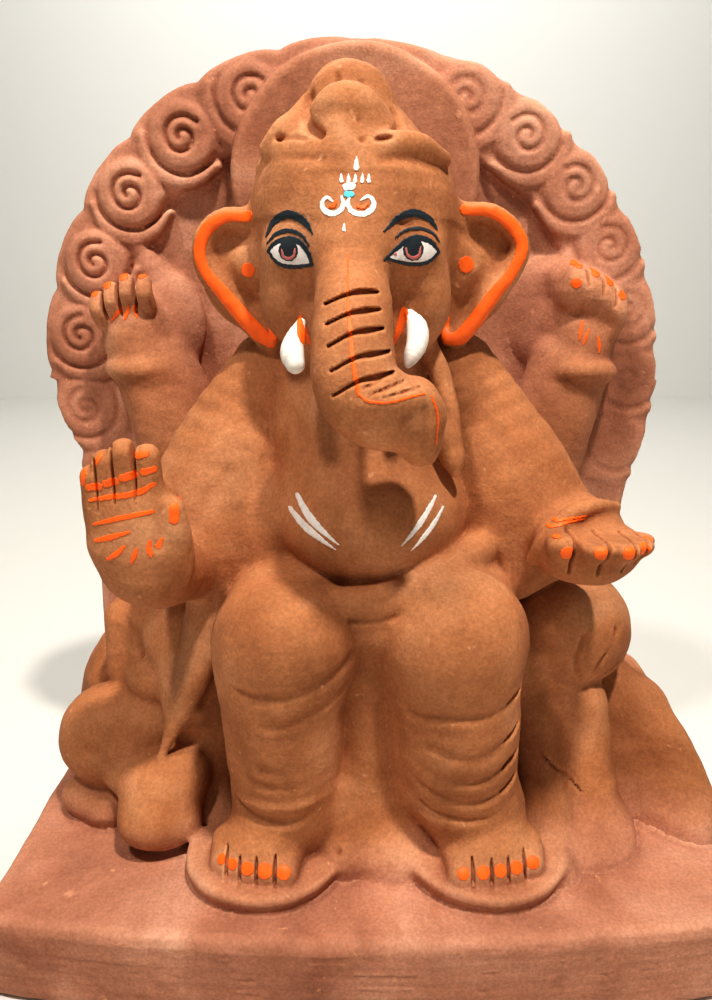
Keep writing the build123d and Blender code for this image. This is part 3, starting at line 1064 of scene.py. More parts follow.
def legs():
    p = anchored("leg_right")
    body = blend(
        10,
        tube(
            [
                p(-27, -32, 48), p(-27.5, -33, 58), p(-27.2, -34, 74), p(-26.9, -35, 94),
                p(-25.9, -35, 108),
            ],
            [17.5, 17.8, 18.9, 19.9, 20.6],
        ),
        tube([p(-25.9, -35, 109), p(-23, -14, 114), p(-20, 8, 112)], [20.6, 21, 20]),
        egg(p(-25, -46.5, 117.5), (15.0, 11, 12.5)),
    )
    folds = [
        crease(
            p, 1.3, 2.2, (-42, -47, 104), (-34, -55, 102), (-24, -58, 103), (-14, -56, 105.5),
            (-5, -47, 110),
        ),
        crease(p, 2.1, 1.6, (-31, -57, 91), (-22, -57, 92), (-14, -54, 95.5), (-6, -46, 100)),
        crease(p, 2.0, 1.5, (-27, -57, 86), (-18, -56, 87.5), (-10, -51, 91), (-4, -43, 96)),
        crease(p, 2.0, 1.5, (-25, -57, 80.5), (-15, -55, 81), (-7, -48, 84), (-3, -41, 88)),
        crease(p, 2.1, 1.6, (-33, -54, 75), (-20, -56, 73.5), (-9, -50, 76), (-3, -41, 81)),
        crease(p, 0.8, 1.6, (-38, -50, 70), (-24, -54, 67.5), (-10, -49, 69)),
        crease(
            p, 1.4, 1.8, (-45, -36, 62), (-38, -47, 56), (-27, -51, 55), (-14, -49, 56), (-7, -42, 58)
        ),
        crease(p, -0.9, 2.0, (-43, -41, 59), (-30, -52, 60.5), (-15, -49, 61), (-6, -40, 61)),
    ]
    Lump("leg_right", scored(body, folds))

    p = anchored("leg_left")
    body = blend(
        10,
        tube(
            [p(34, -33, 50), p(30.0, -34, 64), p(27.6, -35, 86), p(26.3, -34, 108)],
            [17, 18.8, 20.6, 20.6],
        ),
        tube([p(15, -24, 104), p(15, -25, 80), p(19, -27, 56)], [11, 11, 11]),
        tube([p(26.3, -33, 109), p(25, -14, 116), p(22, 8, 113)], [20.6, 21, 20]),
        egg(p(27.0, -43, 117), (16.5, 13, 18)),
    )
    folds = [
        crease(p, 1.0, 1.8, (12, -50, 93), (24, -56, 94.5), (38, -53, 94.5), (43, -48, 96)),
        crease(p, 0.9, 1.7, (18, -53, 83), (28, -56, 80), (36, -54, 81), (42, -48, 84)),
        crease(p, 1.0, 1.6, (14, -50, 75), (25, -55, 71.5), (36, -52, 72), (43, -47, 75)),
        crease(p, 1.0, 1.5, (15, -47, 67), (26, -53, 63.5), (36, -51, 63.5), (43, -46, 66)),
        crease(p, 0.9, 1.4, (17, -45, 59), (28, -51, 56.5), (38, -49, 57), (45, -44, 60)),
        crease(p, -0.8, 2.2, (14, -45, 54), (30, -50, 53), (46, -43, 56)),
    ]
    slits = [
        flat_stroke([(41.0, 95.8), (44.0, 97.2), (49.0, 99.5)], [0.3, 0.9, 1.1]),
        flat_stroke([(41.0, 83.0), (44.0, 84.8), (49.0, 88.0)], [0.3, 1.0, 1.2]),
        flat_stroke([(41.0, 73.0), (44.5, 75.0), (50.0, 79.0)], [0.3, 1.0, 1.2]),
        flat_stroke([(41.0, 64.5), (44.5, 66.2), (50.0, 69.8)], [0.3, 0.9, 1.1]),
    ]
    Lump("leg_left", pressed(scored(body, folds), slits, 3.4, 0.6, front=-41), voxel=LEG_VOXEL)


def foot(side, heel, toes):
    """A bare foot: an instep from heel to toe row, and five toes parted by slits."""
    name = "foot_" + SIDE[side]
    p = anchored(name)
    first, last = toes[0], toes[-1]
    mid = ((first[0] + last[0]) / 2, (first[1] + last[1]) / 2)
    instep = blend(
        7,
        limb(p(heel[0], heel[1], 48), p(mid[0], mid[1] + 7, 42), 14, 10),
        limb(p(first[0] + 4, first[1] + 7, 40), p(last[0] - 4, last[1] + 7, 40), 7, 7),
    )
    rolls = [limb(p(x, y + 7, z + 1.2), p(x, y, z), 4.4, 4.0) for x, y, z in toes]
    body = blend(2.4, instep, *rolls)
    slits = []
    for (x0, y0, z0), (x1, y1, z1) in zip(toes, toes[1:]):
        x, z = (x0 + x1) / 2, (z0 + z1) / 2
        slits.append(flat_stroke([(x, z - 4), (x, z + 2.5), (x, z + 5.5)], [0.55, 0.5, 0.15]))
    body = pressed(body, slits, 1.5, 0.6, front=min(y0, y1) + 9)
    Lump(name, keep(1.5, body, half_space(p(0, 0, 33), (0, 0, -1))), voxel=FINE_VOXEL)


TOES = {
    RIGHT: [
        (-46.3, -49, 40.2), (-42.6, -51, 40.0), (-37.6, -53, 40.0), (-32.0, -54, 40.0),
        (-26.2, -54.5, 40.0),
    ],
    LEFT: [
        (29.0, -54.5, 39.6), (35.2, -54.5, 39.8), (40.6, -54, 40.0), (45.8, -53, 40.4),
        (51.3, -51, 40.6),
    ],
}


def feet():
    foot(RIGHT, (-30, -36), TOES[RIGHT])
    foot(LEFT, (38, -36), TOES[LEFT])
    for side, centre_x in ((RIGHT, -34), (LEFT, 39)):
        p = anchored("foot_pad_" + SIDE[side])
        cx, cy, _ = p(centre_x, -41.5, 32)

        def field(P, cx=cx, cy=cy):
            x, y = (P[0] - cx) / 25.5, (P[1] - cy) / 21.5
            edge = (np.sqrt(x * x + y * y) - 1) * 23.5 + 1.6 * np.clip((35 - P[2]) / 3.5, 0, 1)
            return round_plate(edge, P[2], 24.0, 37.2, 1.5)

        lump = field
        if side == LEFT:
            lump = blend(4, field, egg(p(60, -44, 31), (8, 7, 4.5)), egg(p(57, -34, 33), (7, 8, 6)))
        Lump("foot_pad_" + SIDE[side], lump)


def cloth():
    p = anchored("dhoti_pleat")
    pleat = blend(
        9,
        tube(
            [p(0, -32, 121), p(-0.5, -33, 104), p(0, -31, 80), p(1, -30, 56), p(2, -32, 36)],
            [9.0, 8.0, 8.5, 9.5, 12],
        ),
        tube([p(9, -22, 112), p(9, -21, 84), p(10, -23, 56), p(11, -28, 36)], [8, 8, 8.5, 9]),
        egg(p(-8, -32, 34), (11, 17, 13)),
        egg(p(10, -34, 32), (13, 15, 10)),
        egg(p(-10, -30, 50), (8, 12, 14)),
    )
    lines = [
        crease(p, 0.8, 1.1, (-1.5, -36, 118), (-2, -34, 100), (-2, -33, 84), (-2.5, -33, 70)),
        crease(p, 0.7, 1.6, (6, -34, 104), (5, -32, 84), (7, -33, 60)),
        crease(p, 1.4, 1.0, (-18.5, -50, 47.5), (-14, -49, 44), (-9.5, -47, 40.5)),
    ]
    Lump("dhoti_pleat", scored(pleat, lines), slot="cloth_clay")

    p = anchored("drape_right")
    ridge = blend(
        5,
        tube(
            [
                p(-50.5, -14, 112), p(-53.5, -17, 101), p(-58.2, -19.5, 90), p(-65.0, -22.0, 74.5),
                p(-70.3, -26, 62),
            ],
            [8.0, 6.6, 5.4, 4.0, 1.4],
        ),
        tube(
            [p(-55, -11, 110), p(-57.5, -13.0, 98), p(-61.0, -15, 86), p(-66, -17, 72)],
            [7, 6.5, 5.5, 4],
        ),
    )
    back = blend(
        6,
        tube([p(-50, -4, 110), p(-53, -5, 90), p(-56, -7, 66), p(-57, -9, 38)], [8, 9, 9, 9]),
        egg(p(-64, -3, 92), (12, 13, 18)),
        egg(p(-64, -12, 76), (8, 11, 12), (0, -25, 0)),
        egg(p(-54, -16, 34), (9, 12, 8)),
    )
    Lump("drape_right", blend(3.0, back, ridge), slot="cloth_clay")

    p = anchored("drape_left")
    panel = blend(
        9,
        slab(p(69, -3, 53), (17, 13, 26), 8),
        tube([p(60, -6, 74), p(60, -13, 62), p(61, -20, 48), p(62, -27, 34)], [7, 8, 9, 9]),
        tube([p(76, -3, 72), p(78, -8, 60), p(80, -14, 46), p(83, -19, 33)], [7, 8, 9, 9]),
        egg(p(72, -24, 31), (22, 19, 5.5)),
    )
    lines = [
        crease(p, 1.6, 2.2, (68, -14, 84), (67.5, -18, 74), (69, -22, 62), (71, -26, 50)),
        crease(p, 1.1, 1.5, (57, -16, 84), (57, -22, 68), (58, -28, 54)),
        crease(p, 1.5, 1.6, (87, -8, 70), (87, -13, 52), (89, -17, 34)),
        crease(p, 0.9, 1.6, (53, -26, 88), (54, -30, 66), (56, -33, 46)),
    ]
    crack = [
        flat_stroke([(59.0, 61.2), (63.0, 57.5), (69.0, 52.0), (75.6, 44.7)], [0.1, 0.35, 0.25, 0.1])
    ]
    panel = pressed(scored(panel, lines), crack, 1.2, 0.5)
    pit = egg(p(51.5, -33, 58.5), (2.4, 6, 2.6))
    panel = let_into_base(p, carve(1.5, panel, pit))
    Lump("drape_left", panel, slot="cloth_clay")

    p = anchored("sash")
    strap = blend(
        3,
        tube(
            [p(18, -12, 199), p(22, -17, 190), p(24, -22, 180), p(25, -27, 170), p(26, -30, 162)],
            [2.4, 2.8, 3.0, 2.8, 1.8],
        ),
        egg(p(22.5, -25.5, 171), (3.6, 4.5, 5)),
        egg(p(25, -28, 166), (3.6, 4.0, 3.6)),
    )
    Lump("sash", strap, slot="cloth_clay")


def front_arms():
    p = anchored("upper_arm_right")
    sleeve = blend(
        10,
        tube(
            [p(-32.5, 4, 188.5), p(-42, 1, 172), p(-51, -4, 152), p(-57, -7, 136)], [13.5, 16.5, 20, 20]
        ),
        tube([p(-41.5, -8, 162), p(-45, -11, 142), p(-47, -11, 124)], [10.5, 12.5, 12.5]),
        egg(p(-61, 10, 128), (16, 16, 20)),
    )
    folds = [
        crease(
            p, 2.6, 2.0, (-30.5, -17, 194), (-30, -20, 180), (-29.5, -24, 162), (-31, -27, 142),
            (-32, -27, 122),
        ),
        crease(p, 1.2, 1.2, (-42, -27, 132), (-43, -25, 122), (-43, -21, 112)),
        crease(p, 1.2, 1.4, (-50, -25, 130), (-51, -22, 120), (-50, -18, 110)),
        crease(p, 0.5, 2.0, (-44, -22, 160), (-52, -26, 150), (-58, -27, 140)),
    ]
    Lump("upper_arm_right", scored(sleeve, folds))

    p = anchored("forearm_right")
    body = blend(
        8,
        tube([p(-58, -8, 134), p(-62, -23, 131), p(-65, -33, 134)], [16.5, 13.5, 10.5]),
        egg(p(-65.5, -35, 133), (12, 9, 10)),
    )
    Lump("forearm_right", body)

    p = anchored("upper_arm_left")
    sleeve = blend(
        10,
        tube(
            [p(29.5, 4, 188.5), p(38, 1, 173), p(48, -4, 154), p(57, -7, 139)], [13.5, 16.5, 20, 18.5]
        ),
        tube([p(38, -8, 162), p(42.5, -11, 142), p(46, -11, 126)], [10.5, 12.5, 12.5]),
        egg(p(60, 10, 128), (16, 16, 18)),
    )
    folds = [
        crease(
            p, 2.6, 1.9, (26, -14, 194), (27.5, -19, 178), (29.5, -24, 160), (31, -27, 144),
            (32, -26, 130),
        ),
        crease(p, 1.0, 1.5, (40, -25, 136), (43, -23, 126), (46, -19, 116)),
        crease(p, 0.4, 2.4, (38, -18, 176), (48, -22, 160), (55, -25, 148)),
    ]
    Lump("upper_arm_left", scored(sleeve, folds))

    p = anchored("forearm_left")
    body = blend(
        6,
        tube([p(57, -8, 138), p(64, -18, 138.5), p(68, -26, 139)], [16.5, 13.5, 11.5]),
        egg(p(65, -20, 143), (15, 12, 8), (0, -4, 0)),
    )
    rim = thread([p(51, -29, 137), p(55.5, -30.5, 146), p(63, -29.5, 150), p(72, -25, 149)])
    Lump("forearm_left", scored(body, [(rim, -1.0, 1.6)]))


FINGERS_RIGHT = [
    ((-61.6, -45, 156), (-61.6, -46.5, 170.6), 3.7),
    ((-67.6, -45.5, 157), (-67.6, -47.5, 172.2), 3.9),
    ((-73.2, -45, 156), (-73.2, -46.5, 169.0), 3.6),
    ((-77.6, -44, 153), (-77.6, -45.5, 164.8), 3.2),
]


def hand_right():
    """The raised palm that faces forward, fingers together, thumb folded along its side."""
    p = anchored("hand_right")
    palm = blend(
        7,
        egg(p(-66.5, -41.5, 147), (13.6, 8.0, 17)),
        egg(p(-66, -40.5, 135.5), (12.5, 9.0, 10.5)),
        slab(p(-68.5, -43, 151), (11.6, 5.5, 11), 4.5),
    )
    fingers = [tube([p(*a), p(*b)], [r + 0.5, r]) for a, b, r in FINGERS_RIGHT]
    thumb = tube([p(-57, -43, 140), p(-55.2, -45, 148), p(-55.4, -46, 155.5)], [4.6, 4.0, 3.2])
    body = blend(1.4, palm, *fingers)
    body = blend(2.6, body, thumb)
    gaps = [
        flat_stroke([(-64.6, 175), (-64.6, 166), (-64.8, 158)], [0.5, 0.35, 0.15]),
        flat_stroke([(-70.4, 174), (-70.4, 166), (-70.6, 158)], [0.5, 0.35, 0.15]),
        flat_stroke([(-75.4, 170), (-75.4, 163), (-75.6, 156)], [0.5, 0.3, 0.15]),
    ]
    body = pressed(body, gaps, 1.2, 0.8, front=-42)
    marks = [
        crease(p, 1.1, 1.4, (-59.0, -49, 163), (-58.4, -50, 155), (-59.2, -50.5, 146)),
        crease(p, -0.8, 1.6, (-52.8, -44, 140), (-52.4, -44, 130)),
    ]
    Lump("hand_right", scored(body, marks), voxel=FINE_VOXEL)


FINGERS_LEFT = [
    ((58, -36, 138), (54.6, -48.0, 145.2), 4.8),
    ((62, -36, 137), (62.3, -53.0, 147.0), 4.9),
    ((66, -36, 137), (70.0, -52.6, 146.8), 4.9),
    ((69, -35, 138), (75.8, -48.8, 146.6), 4.4),
    ((70, -33, 139), (78.6, -43.5, 146.2), 3.6),
]


def hand_left():
    """The lowered hand with its palm up and finger ends towards the front."""
    p = anchored("hand_left")
    palm = blend(
        5,
        egg(p(64, -36, 139), (14.5, 15, 9.0)),
        egg(p(66, -38, 143), (15.5, 13, 5.5)),
    )
    fingers = [tube([p(*a), p(*b)], [r + 1.6, r]) for a, b, r in FINGERS_LEFT]
    body = blend(1.8, palm, *fingers)
    gaps = [
        flat_stroke([(57.2, 148), (56.6, 143), (56.8, 137)], [0.6, 0.5, 0.15]),
        flat_stroke([(65.4, 150), (64.4, 144), (64.0, 137)], [0.6, 0.5, 0.15]),
        flat_stroke([(72.9, 150), (72.0, 144), (71.0, 138)], [0.6, 0.5, 0.15]),
        flat_stroke([(77.4, 149), (76.4, 144), (75.0, 140)], [0.5, 0.4, 0.15]),
    ]
    body = pressed(body, gaps, 1.6, 0.8, front=-40)
    cuff = tube(
        [p(49, -36, 137), p(52.5, -39, 144), p(59, -36, 150), p(68, -31, 152), p(77, -24, 150)],
        [2.0, 2.6, 2.6, 2.4, 1.8],
    )
    body = blend(2.5, keep(2.5, body, half_space(p(0, 0, 149.8), (0.03, 0, 1))), cuff)
    Lump("hand_left", body, voxel=FINE_VOXEL)


def rear_arms():
    routes = {
        RIGHT: [(-44, 40, 152), (-60, 41, 150), (-74, 41, 156), (-79.5, 40, 170), (-85.0, 39, 186)],
        LEFT: [(40, 42, 146), (56, 43, 142), (70, 43, 147), (76.0, 42, 164), (81.0, 41, 184)],
    }
    for side in (RIGHT, LEFT):
        name = SIDE[side]
        p = anchored("rear_arm_" + name)
        body = blend(
            12,
            tube([p(*q) for q in routes[side]], [16, 15.5, 14, 12.2, 10.6]),
            tube([p(q[0] - side * 9, 44, q[2] + 6) for q in routes[side][1:]], [13, 12, 10, 8]),
        )
        body = let_into_plate(p, body)
        Lump("rear_arm_" + name, body)

        p = anchored("bracelet_" + name)
        x, z = routes[side][-1][0], 186 if side == RIGHT else 185.5
        ring = [
            (-10.5, 44, 0), (-10.0, 37, 0.5), (-5, 31.5, 0.5), (2, 30.5, 0.5), (8.5, 34, 0),
            (10.5, 42, -0.5),
        ]
        body = tube([p(x + dx, y, z + dz) for dx, y, dz in ring], [2.8, 3.2, 3.6, 3.7, 3.4, 2.8])
        Lump("bracelet_" + name, body)


def rear_hand_right():
    p = anchored("rear_hand_right")
    palm = blend(
        7,
        egg(p(-87.5, 40, 203.0), (11.5, 9, 13.0)),
        egg(p(-86.5, 39, 194), (10.5, 9, 9)),
        egg(p(-74, 48, 203), (12, 8, 18)),
    )
    fingers = []
    for x, top in ((-98.0, 211.6), (-92.8, 214.6), (-86.8, 217.4), (-80.6, 217.4)):
        fingers.append(
            tube([p(x + 1.0, 34.5, top - 8), p(x + 0.3, 32, top - 3.5), p(x, 34, top)], [3.0, 3.2, 2.9])
        )
    body = blend(2.4, palm, *fingers)
    gaps = [
        flat_stroke([(-95.6, 214), (-95.0, 208), (-94.0, 204.5)], [0.7, 0.6, 0.2]),
        flat_stroke([(-89.8, 217), (-89.5, 211), (-88.8, 206)], [0.7, 0.6, 0.2]),
        flat_stroke([(-83.6, 219), (-83.6, 212), (-83.8, 207)], [0.7, 0.6, 0.2]),
    ]
    body = pressed(body, gaps, 1.8, 0.9, front=46)
    Lump("rear_hand_right", let_into_plate(p, body), voxel=FINE_VOXEL)

    p = anchored("attribute_right")
    point = tube(
        [p(-77, 52, 208), p(-79, 50.5, 216), p(-83, 49, 226), p(-87, 49, 233)], [8, 6.5, 4.2, 1.4]
    )
    Lump("attribute_right", let_into_plate(p, point))


def rear_hand_left():
    p = anchored("rear_hand_left")
    palm = blend(
        8,
        egg(p(82, 43, 205), (12.5, 8.5, 15)),
        egg(p(82.5, 42, 195), (10, 8.5, 9)),
        egg(p(68, 52, 206), (14, 7, 22)),
        limb(p(75, 44, 220), p(92, 43, 212), 5.5, 4.6),
    )
    fingers = []
    for x, top in ((76.3, 220.5), (82.3, 217.8), (87.8, 214.6), (92.4, 210.2)):
        fingers.append(
            tube([p(x - 0.8, 36.5, top - 8), p(x, 34.5, top - 3), p(x, 36, top + 0.5)], [3.2, 3.3, 2.8])
        )
    thumb = egg(p(75.2, 37.5, 213.5), (3.4, 3.5, 5))
    body = blend(4.5, palm, thumb, *fingers)
    gaps = [
        flat_stroke([(79.4, 223), (79.4, 219), (79.6, 216)], [0.6, 0.5, 0.2]),
        flat_stroke([(85.2, 220), (85.2, 216), (85.0, 213)], [0.6, 0.5, 0.2]),
        flat_stroke([(90.4, 217), (90.3, 212), (89.8, 209)], [0.6, 0.5, 0.2]),
    ]
    body = pressed(body, gaps, 0.8, 1.0, front=46)
    hollow = crease(p, 0.8, 2.6, (78, 34, 207), (84, 32, 205), (90, 33, 203))
    body = let_into_plate(p, scored(body, [hollow]))
    Lump("rear_hand_left", body, voxel=FINE_VOXEL)


def mouse():
    p = anchored("mouse_body")
    body = blend(
        8,
        egg(p(-94.5, -2, 56), (19.5, 20, 18)),
        egg(p(-78.5, -3, 62), (15, 15, 15)),
        egg(p(-82, -2, 46), (18, 14, 17)),
    )
    paws = blend(4, egg(p(-101, -11, 36), (11, 10, 8)), egg(p(-93, -17, 35), (8, 8, 7)))
    body = blend(4, body, paws)
    creases = [
        crease(p, 1.4, 1.6, (-87, -24, 58), (-85, -22, 64), (-80, -19, 68)),
        crease(p, 1.2, 1.6, (-108, -14, 45), (-98, -20, 43), (-90, -20, 43)),
        crease(p, 0.7, 2.0, (-97, -21, 62), (-91, -22, 58), (-88, -22, 52)),
    ]
    notch = egg(p(-87, -24, 48), (2.6, 5, 6))
    body = let_into_base(p, carve(3, scored(body, creases), notch))
    Lump("mouse_body", body)

    p = anchored("mouse_head")
    body = blend(
        6,
        egg(p(-73, -26, 48), (12, 12, 12)),
        egg(p(-74.5, -34, 41.5), (9.5, 7.5, 8.5)),
        egg(p(-66, -20, 50), (11, 13, 11)),
        egg(p(-67, -30, 39), (9.5, 8, 7.5)),
        egg(p(-83, -17, 49), (10, 9, 7)),
    )
    chin = crease(p, 0.9, 1.2, (-82, -38, 37), (-75, -41, 34.5), (-66, -38, 35))
    Lump("mouse_head", let_into_base(p, scored(body, [chin])))


base_slab()
backplate()
scroll_border()
scroll_coils()
halo_disc()
seat_and_sides()
torso()
waist_roll()
head()
crown()
ears()
trunk()
tusks()
legs()
feet()
cloth()
front_arms()
hand_right()
hand_left()
rear_arms()
rear_hand_right()
rear_hand_left()
mouse()

# ------------------------------------------------------------------ materials
def srgb(r, g, b):
    """Linear colour from 0-255 screen values."""
    out = []
    for v in (r, g, b):
        v /= 255
        out.append(v / 12.92 if v <= 0.04045 else ((v + 0.055) / 1.055) ** 2.4)
    return (*out, 1.0)


FIGURE_TONES = (srgb(148, 90, 54), srgb(174, 113, 73), srgb(198, 140, 100))
BASE_TONES = (srgb(150, 95, 71), srgb(176, 119, 93), srgb(200, 147, 120))


def clay_material(name):
    """Matt unglazed terracotta: blotches, brush smears, fine grain, pores, and painted shade that
    darkens hollows and creases and lightens raised edges.
    """
    mat = bpy.data.materials.new(name)
    mat.use_nodes = True
    tree = mat.node_tree
    nodes, links = tree.nodes, tree.links
    shader = nodes["Principled BSDF"]
    shader.inputs["Roughness"].default_value = 0.82
    shader.inputs["Specular IOR Level"].default_value = 0.25
    coords = nodes.new("ShaderNodeTexCoord")

    def noise(scale, detail, rough, distortion=0.0, stretch=None):
        tex = nodes.new("ShaderNodeTexNoise")
        tex.inputs["Scale"].default_value = scale
        tex.inputs["Detail"].default_value = detail
        tex.inputs["Roughness"].default_value = rough
        tex.inputs["Distortion"].default_value = distortion
        if stretch:
            mapping = nodes.new("ShaderNodeMapping")
            mapping.inputs["Scale"].default_value = stretch
            links.new(coords.outputs["Object"], mapping.inputs["Vector"])
            links.new(mapping.outputs["Vector"], tex.inputs["Vector"])
        else:
            links.new(coords.outputs["Object"], tex.inputs["Vector"])
        return tex.outputs["Fac"]

    def ramp(source, stops):
        node = nodes.new("ShaderNodeValToRGB")
        node.color_ramp.elements[0].position = stops[0][0]
        node.color_ramp.elements[0].color = stops[0][1]
        node.color_ramp.elements[1].position = stops[-1][0]
        node.color_ramp.elements[1].color = stops[-1][1]
        for position, colour in stops[1:-1]:
            node.color_ramp.elements.new(position).color = colour
        links.new(source, node.inputs["Fac"])
        return node.outputs["Color"]

    def mix(kind, factor, a, b):
        node = nodes.new("ShaderNodeMix")
        node.data_type = "RGBA"
        node.blend_type = kind
        if isinstance(factor, float):
            node.inputs["Factor"].default_value = factor
        else:
            links.new(factor, node.inputs["Factor"])
        links.new(a, node.inputs["A"])
        if isinstance(b, tuple):
            node.inputs["B"].default_value = b
        else:
            links.new(b, node.inputs["B"])
        return node.outputs["Result"]

    clouds = noise(26, 5, 0.55, 0.6)
    body = ramp(clouds, list(zip((0.30, 0.52, 0.74), FIGURE_TONES)))
    redder = ramp(clouds, list(zip((0.30, 0.52, 0.74), BASE_TONES)))
    axes = nodes.new("ShaderNodeSeparateXYZ")
    links.new(coords.outputs["Object"], axes.inputs["Vector"])

    def fade(value, start, end):
        node = nodes.new("ShaderNodeMapRange")
        node.inputs["From Min"].default_value = start * MM
        node.inputs["From Max"].default_value = end * MM
        links.new(value, node.inputs["Value"])
        return node.outputs["Result"]

    whichever = nodes.new("ShaderNodeMath")
    whichever.operation = "MAXIMUM"
    links.new(fade(axes.outputs["Z"], 46, 32), whichever.inputs[0])
    links.new(fade(axes.outputs["Y"], 22, 44), whichever.inputs[1])
    blotch = mix("MIX", whichever.outputs["Value"], body, redder)
    smear = ramp(
        noise(60, 4, 0.6, 0.3, (1.0, 1.0, 0.35)),
        [(0.35, (0.42, 0.42, 0.42, 1)), (0.65, (0.58, 0.58, 0.58, 1))],
    )
    colour = mix("OVERLAY", 0.55, blotch, smear)
    speck = ramp(noise(900, 2, 0.7), [(0.36, (0.36, 0.36, 0.36, 1)), (0.66, (0.62, 0.62, 0.62, 1))])
    colour = mix("OVERLAY", 0.5, colour, speck)
    # Painted shade from surface curvature: hollows, creases and joints are darkened, and raised edges
    # are lightened.
    geometry = nodes.new("ShaderNodeNewGeometry")
    edge = ramp(
        geometry.outputs["Pointiness"],
        [(0.42, (0, 0, 0, 1)), (0.50, (0.5, 0.5, 0.5, 1)), (0.60, (1, 1, 1, 1))],
    )
    hollow_shade_light_edges = mix("SOFT_LIGHT", 0.75, colour, edge)
    dust = ramp(noise(340, 2, 0.5), [(0.70, (0, 0, 0, 1)), (0.78, (1, 1, 1, 1))])
    links.new(mix("MIX", dust, hollow_shade_light_edges, FIGURE_TONES[2]), shader.inputs["Base Color"])

    rough = nodes.new("ShaderNodeMapRange")
    rough.inputs["To Min"].default_value = 0.72
    rough.inputs["To Max"].default_value = 0.93
    links.new(noise(140, 3, 0.6), rough.inputs["Value"])
    links.new(rough.outputs["Result"], shader.inputs["Roughness"])

    def bump(height, strength, distance, previous=None):
        node = nodes.new("ShaderNodeBump")
        node.inputs["Strength"].default_value = strength
        node.inputs["Distance"].default_value = distance
        links.new(height, node.inputs["Height"])
        if previous:
            links.new(previous, node.inputs["Normal"])
        return node.outputs["Normal"]

    normal = bump(noise(220, 4, 0.6), 0.55, 0.0007)
    normal = bump(noise(1300, 2, 0.65), 0.6, 0.00022, normal)
    links.new(normal, shader.inputs["Normal"])
    return mat


def paint_material(name, colour, roughness=0.5):
    """Poster paint over clay: a slightly uneven film with brush streaks."""
    mat = bpy.data.materials.new(name)
    mat.use_nodes = True
    tree = mat.node_tree
    nodes, links = tree.nodes, tree.links
    shader = nodes["Principled BSDF"]
    shader.inputs["Specular IOR Level"].default_value = 0.35
    coords = nodes.new("ShaderNodeTexCoord")
    tex = nodes.new("ShaderNodeTexNoise")
    tex.inputs["Scale"].default_value = 420
    tex.inputs["Detail"].default_value = 4
    links.new(coords.outputs["Object"], tex.inputs["Vector"])
    shades = nodes.new("ShaderNodeValToRGB")
    shades.color_ramp.elements[0].position = 0.3
    shades.color_ramp.elements[0].color = tuple(c * 0.86 for c in colour[:3]) + (1,)
    shades.color_ramp.elements[1].position = 0.68
    shades.color_ramp.elements[1].color = tuple(min(c * 1.06, 1) for c in colour[:3]) + (1,)
    links.new(tex.outputs["Fac"], shades.inputs["Fac"])
    links.new(shades.outputs["Color"], shader.inputs["Base Color"])
    gloss = nodes.new("ShaderNodeMapRange")
    gloss.inputs["To Min"].default_value = roughness - 0.08
    gloss.inputs["To Max"].default_value = roughness + 0.12
    links.new(tex.outputs["Fac"], gloss.inputs["Value"])
    links.new(gloss.outputs["Result"], shader.inputs["Roughness"])
    node = nodes.new("ShaderNodeBump")
    node.inputs["Strength"].default_value = 0.4
    node.inputs["Distance"].default_value = 0.00025
    links.new(tex.outputs["Fac"], node.inputs["Height"])
    links.new(node.outputs["Normal"], shader.inputs["Normal"])
    return mat


PAINT = {
    "orange": paint_material("orange_paint", srgb(255, 104, 22), 0.5),
    "white": paint_material("white_paint", srgb(240, 232, 226), 0.5),
    "slate": paint_material("slate_paint", srgb(38, 46, 52), 0.45),
    "pink": paint_material("pink_paint", srgb(196, 112, 106), 0.5),
    "cyan": paint_material("cyan_paint", srgb(84, 200, 212), 0.5),
}
FILM = 0.16
FILM_ROOT = 0.45
FINE_PAINT = 0.2


def paint_film(name, colour, strokes, depth_range, layer=0, voxel=None):
    """Brush strokes as a thin closed film that follows the clay under them.

    depth_range is the span of Y within which the strokes lie on the front.
    """
    voxel = voxel or PAINT_VOXEL
    low, high = extent_of(strokes)
    low = np.array([low[0], depth_range[0], low[1]], float)
    high = np.array([high[0], depth_range[1], high[1]], float)
    skin = skin_field(low, high)
    thick = FILM + 0.07 * layer

    def field(P):
        d = skin(P)
        mark = np.full_like(d, FAR)
        for stroke in strokes:
            mark = np.minimum(mark, stroke(P))
        mark = mark + 0.10 * np.sin(P[0] * 2.9 + P[2] * 1.7) * np.sin(P[2] * 3.3 - P[0] * 1.1)
        film = np.maximum(d - thick, -(d + FILM_ROOT))
        return np.maximum(film, np.maximum(mark, P[1] - depth_range[1]))

    grid = sample(field, low, high, voxel)
    verts, quads = surface_net(grid, low, voxel)
    verts = settle(field, verts, voxel, rounds=1)
    obj = mesh_object(name, verts, quads)
    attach(obj, "root")
    obj.data.materials.append(PAINT[colour])


def extent_of(strokes):
    """The span in X and Z of some flat strokes, with room for a voxel or two."""
    spans = np.array([stroke.span for stroke in strokes])
    return spans[:, 0].min(axis=0) - 1.2, spans[:, 1].max(axis=0) + 1.2


def brush(points, radii):
    """A flat stroke that knows its own span."""
    field = flat_stroke(points, radii)
    pts, widest = np.array(points), max(radii)
    field.span = (pts.min(axis=0) - widest, pts.max(axis=0) + widest)
    return field


def patch(points):
    """A flat patch that knows its own span."""
    field = flat_patch(points)
    pts = np.array(points)
    field.span = (pts.min(axis=0) - 0.5, pts.max(axis=0) + 0.5)
    return field


def spot(x, y, z, radius):
    """A round dab on a fingertip or toe."""
    field = ball((x, y, z), radius)
    field.span = (np.array([x, z]) - radius, np.array([x, z]) + radius)
    return field


def dot(x, z, radius):
    """A round dab drawn flat on the front."""
    return brush([(x, z), (x, z + 0.01)], [radius, radius])


def drop(x, z, radius, rise):
    """A drop with its point up."""
    return brush([(x, z), (x, z + rise * 0.5), (x, z + rise)], [radius, radius * 0.75, 0.08])


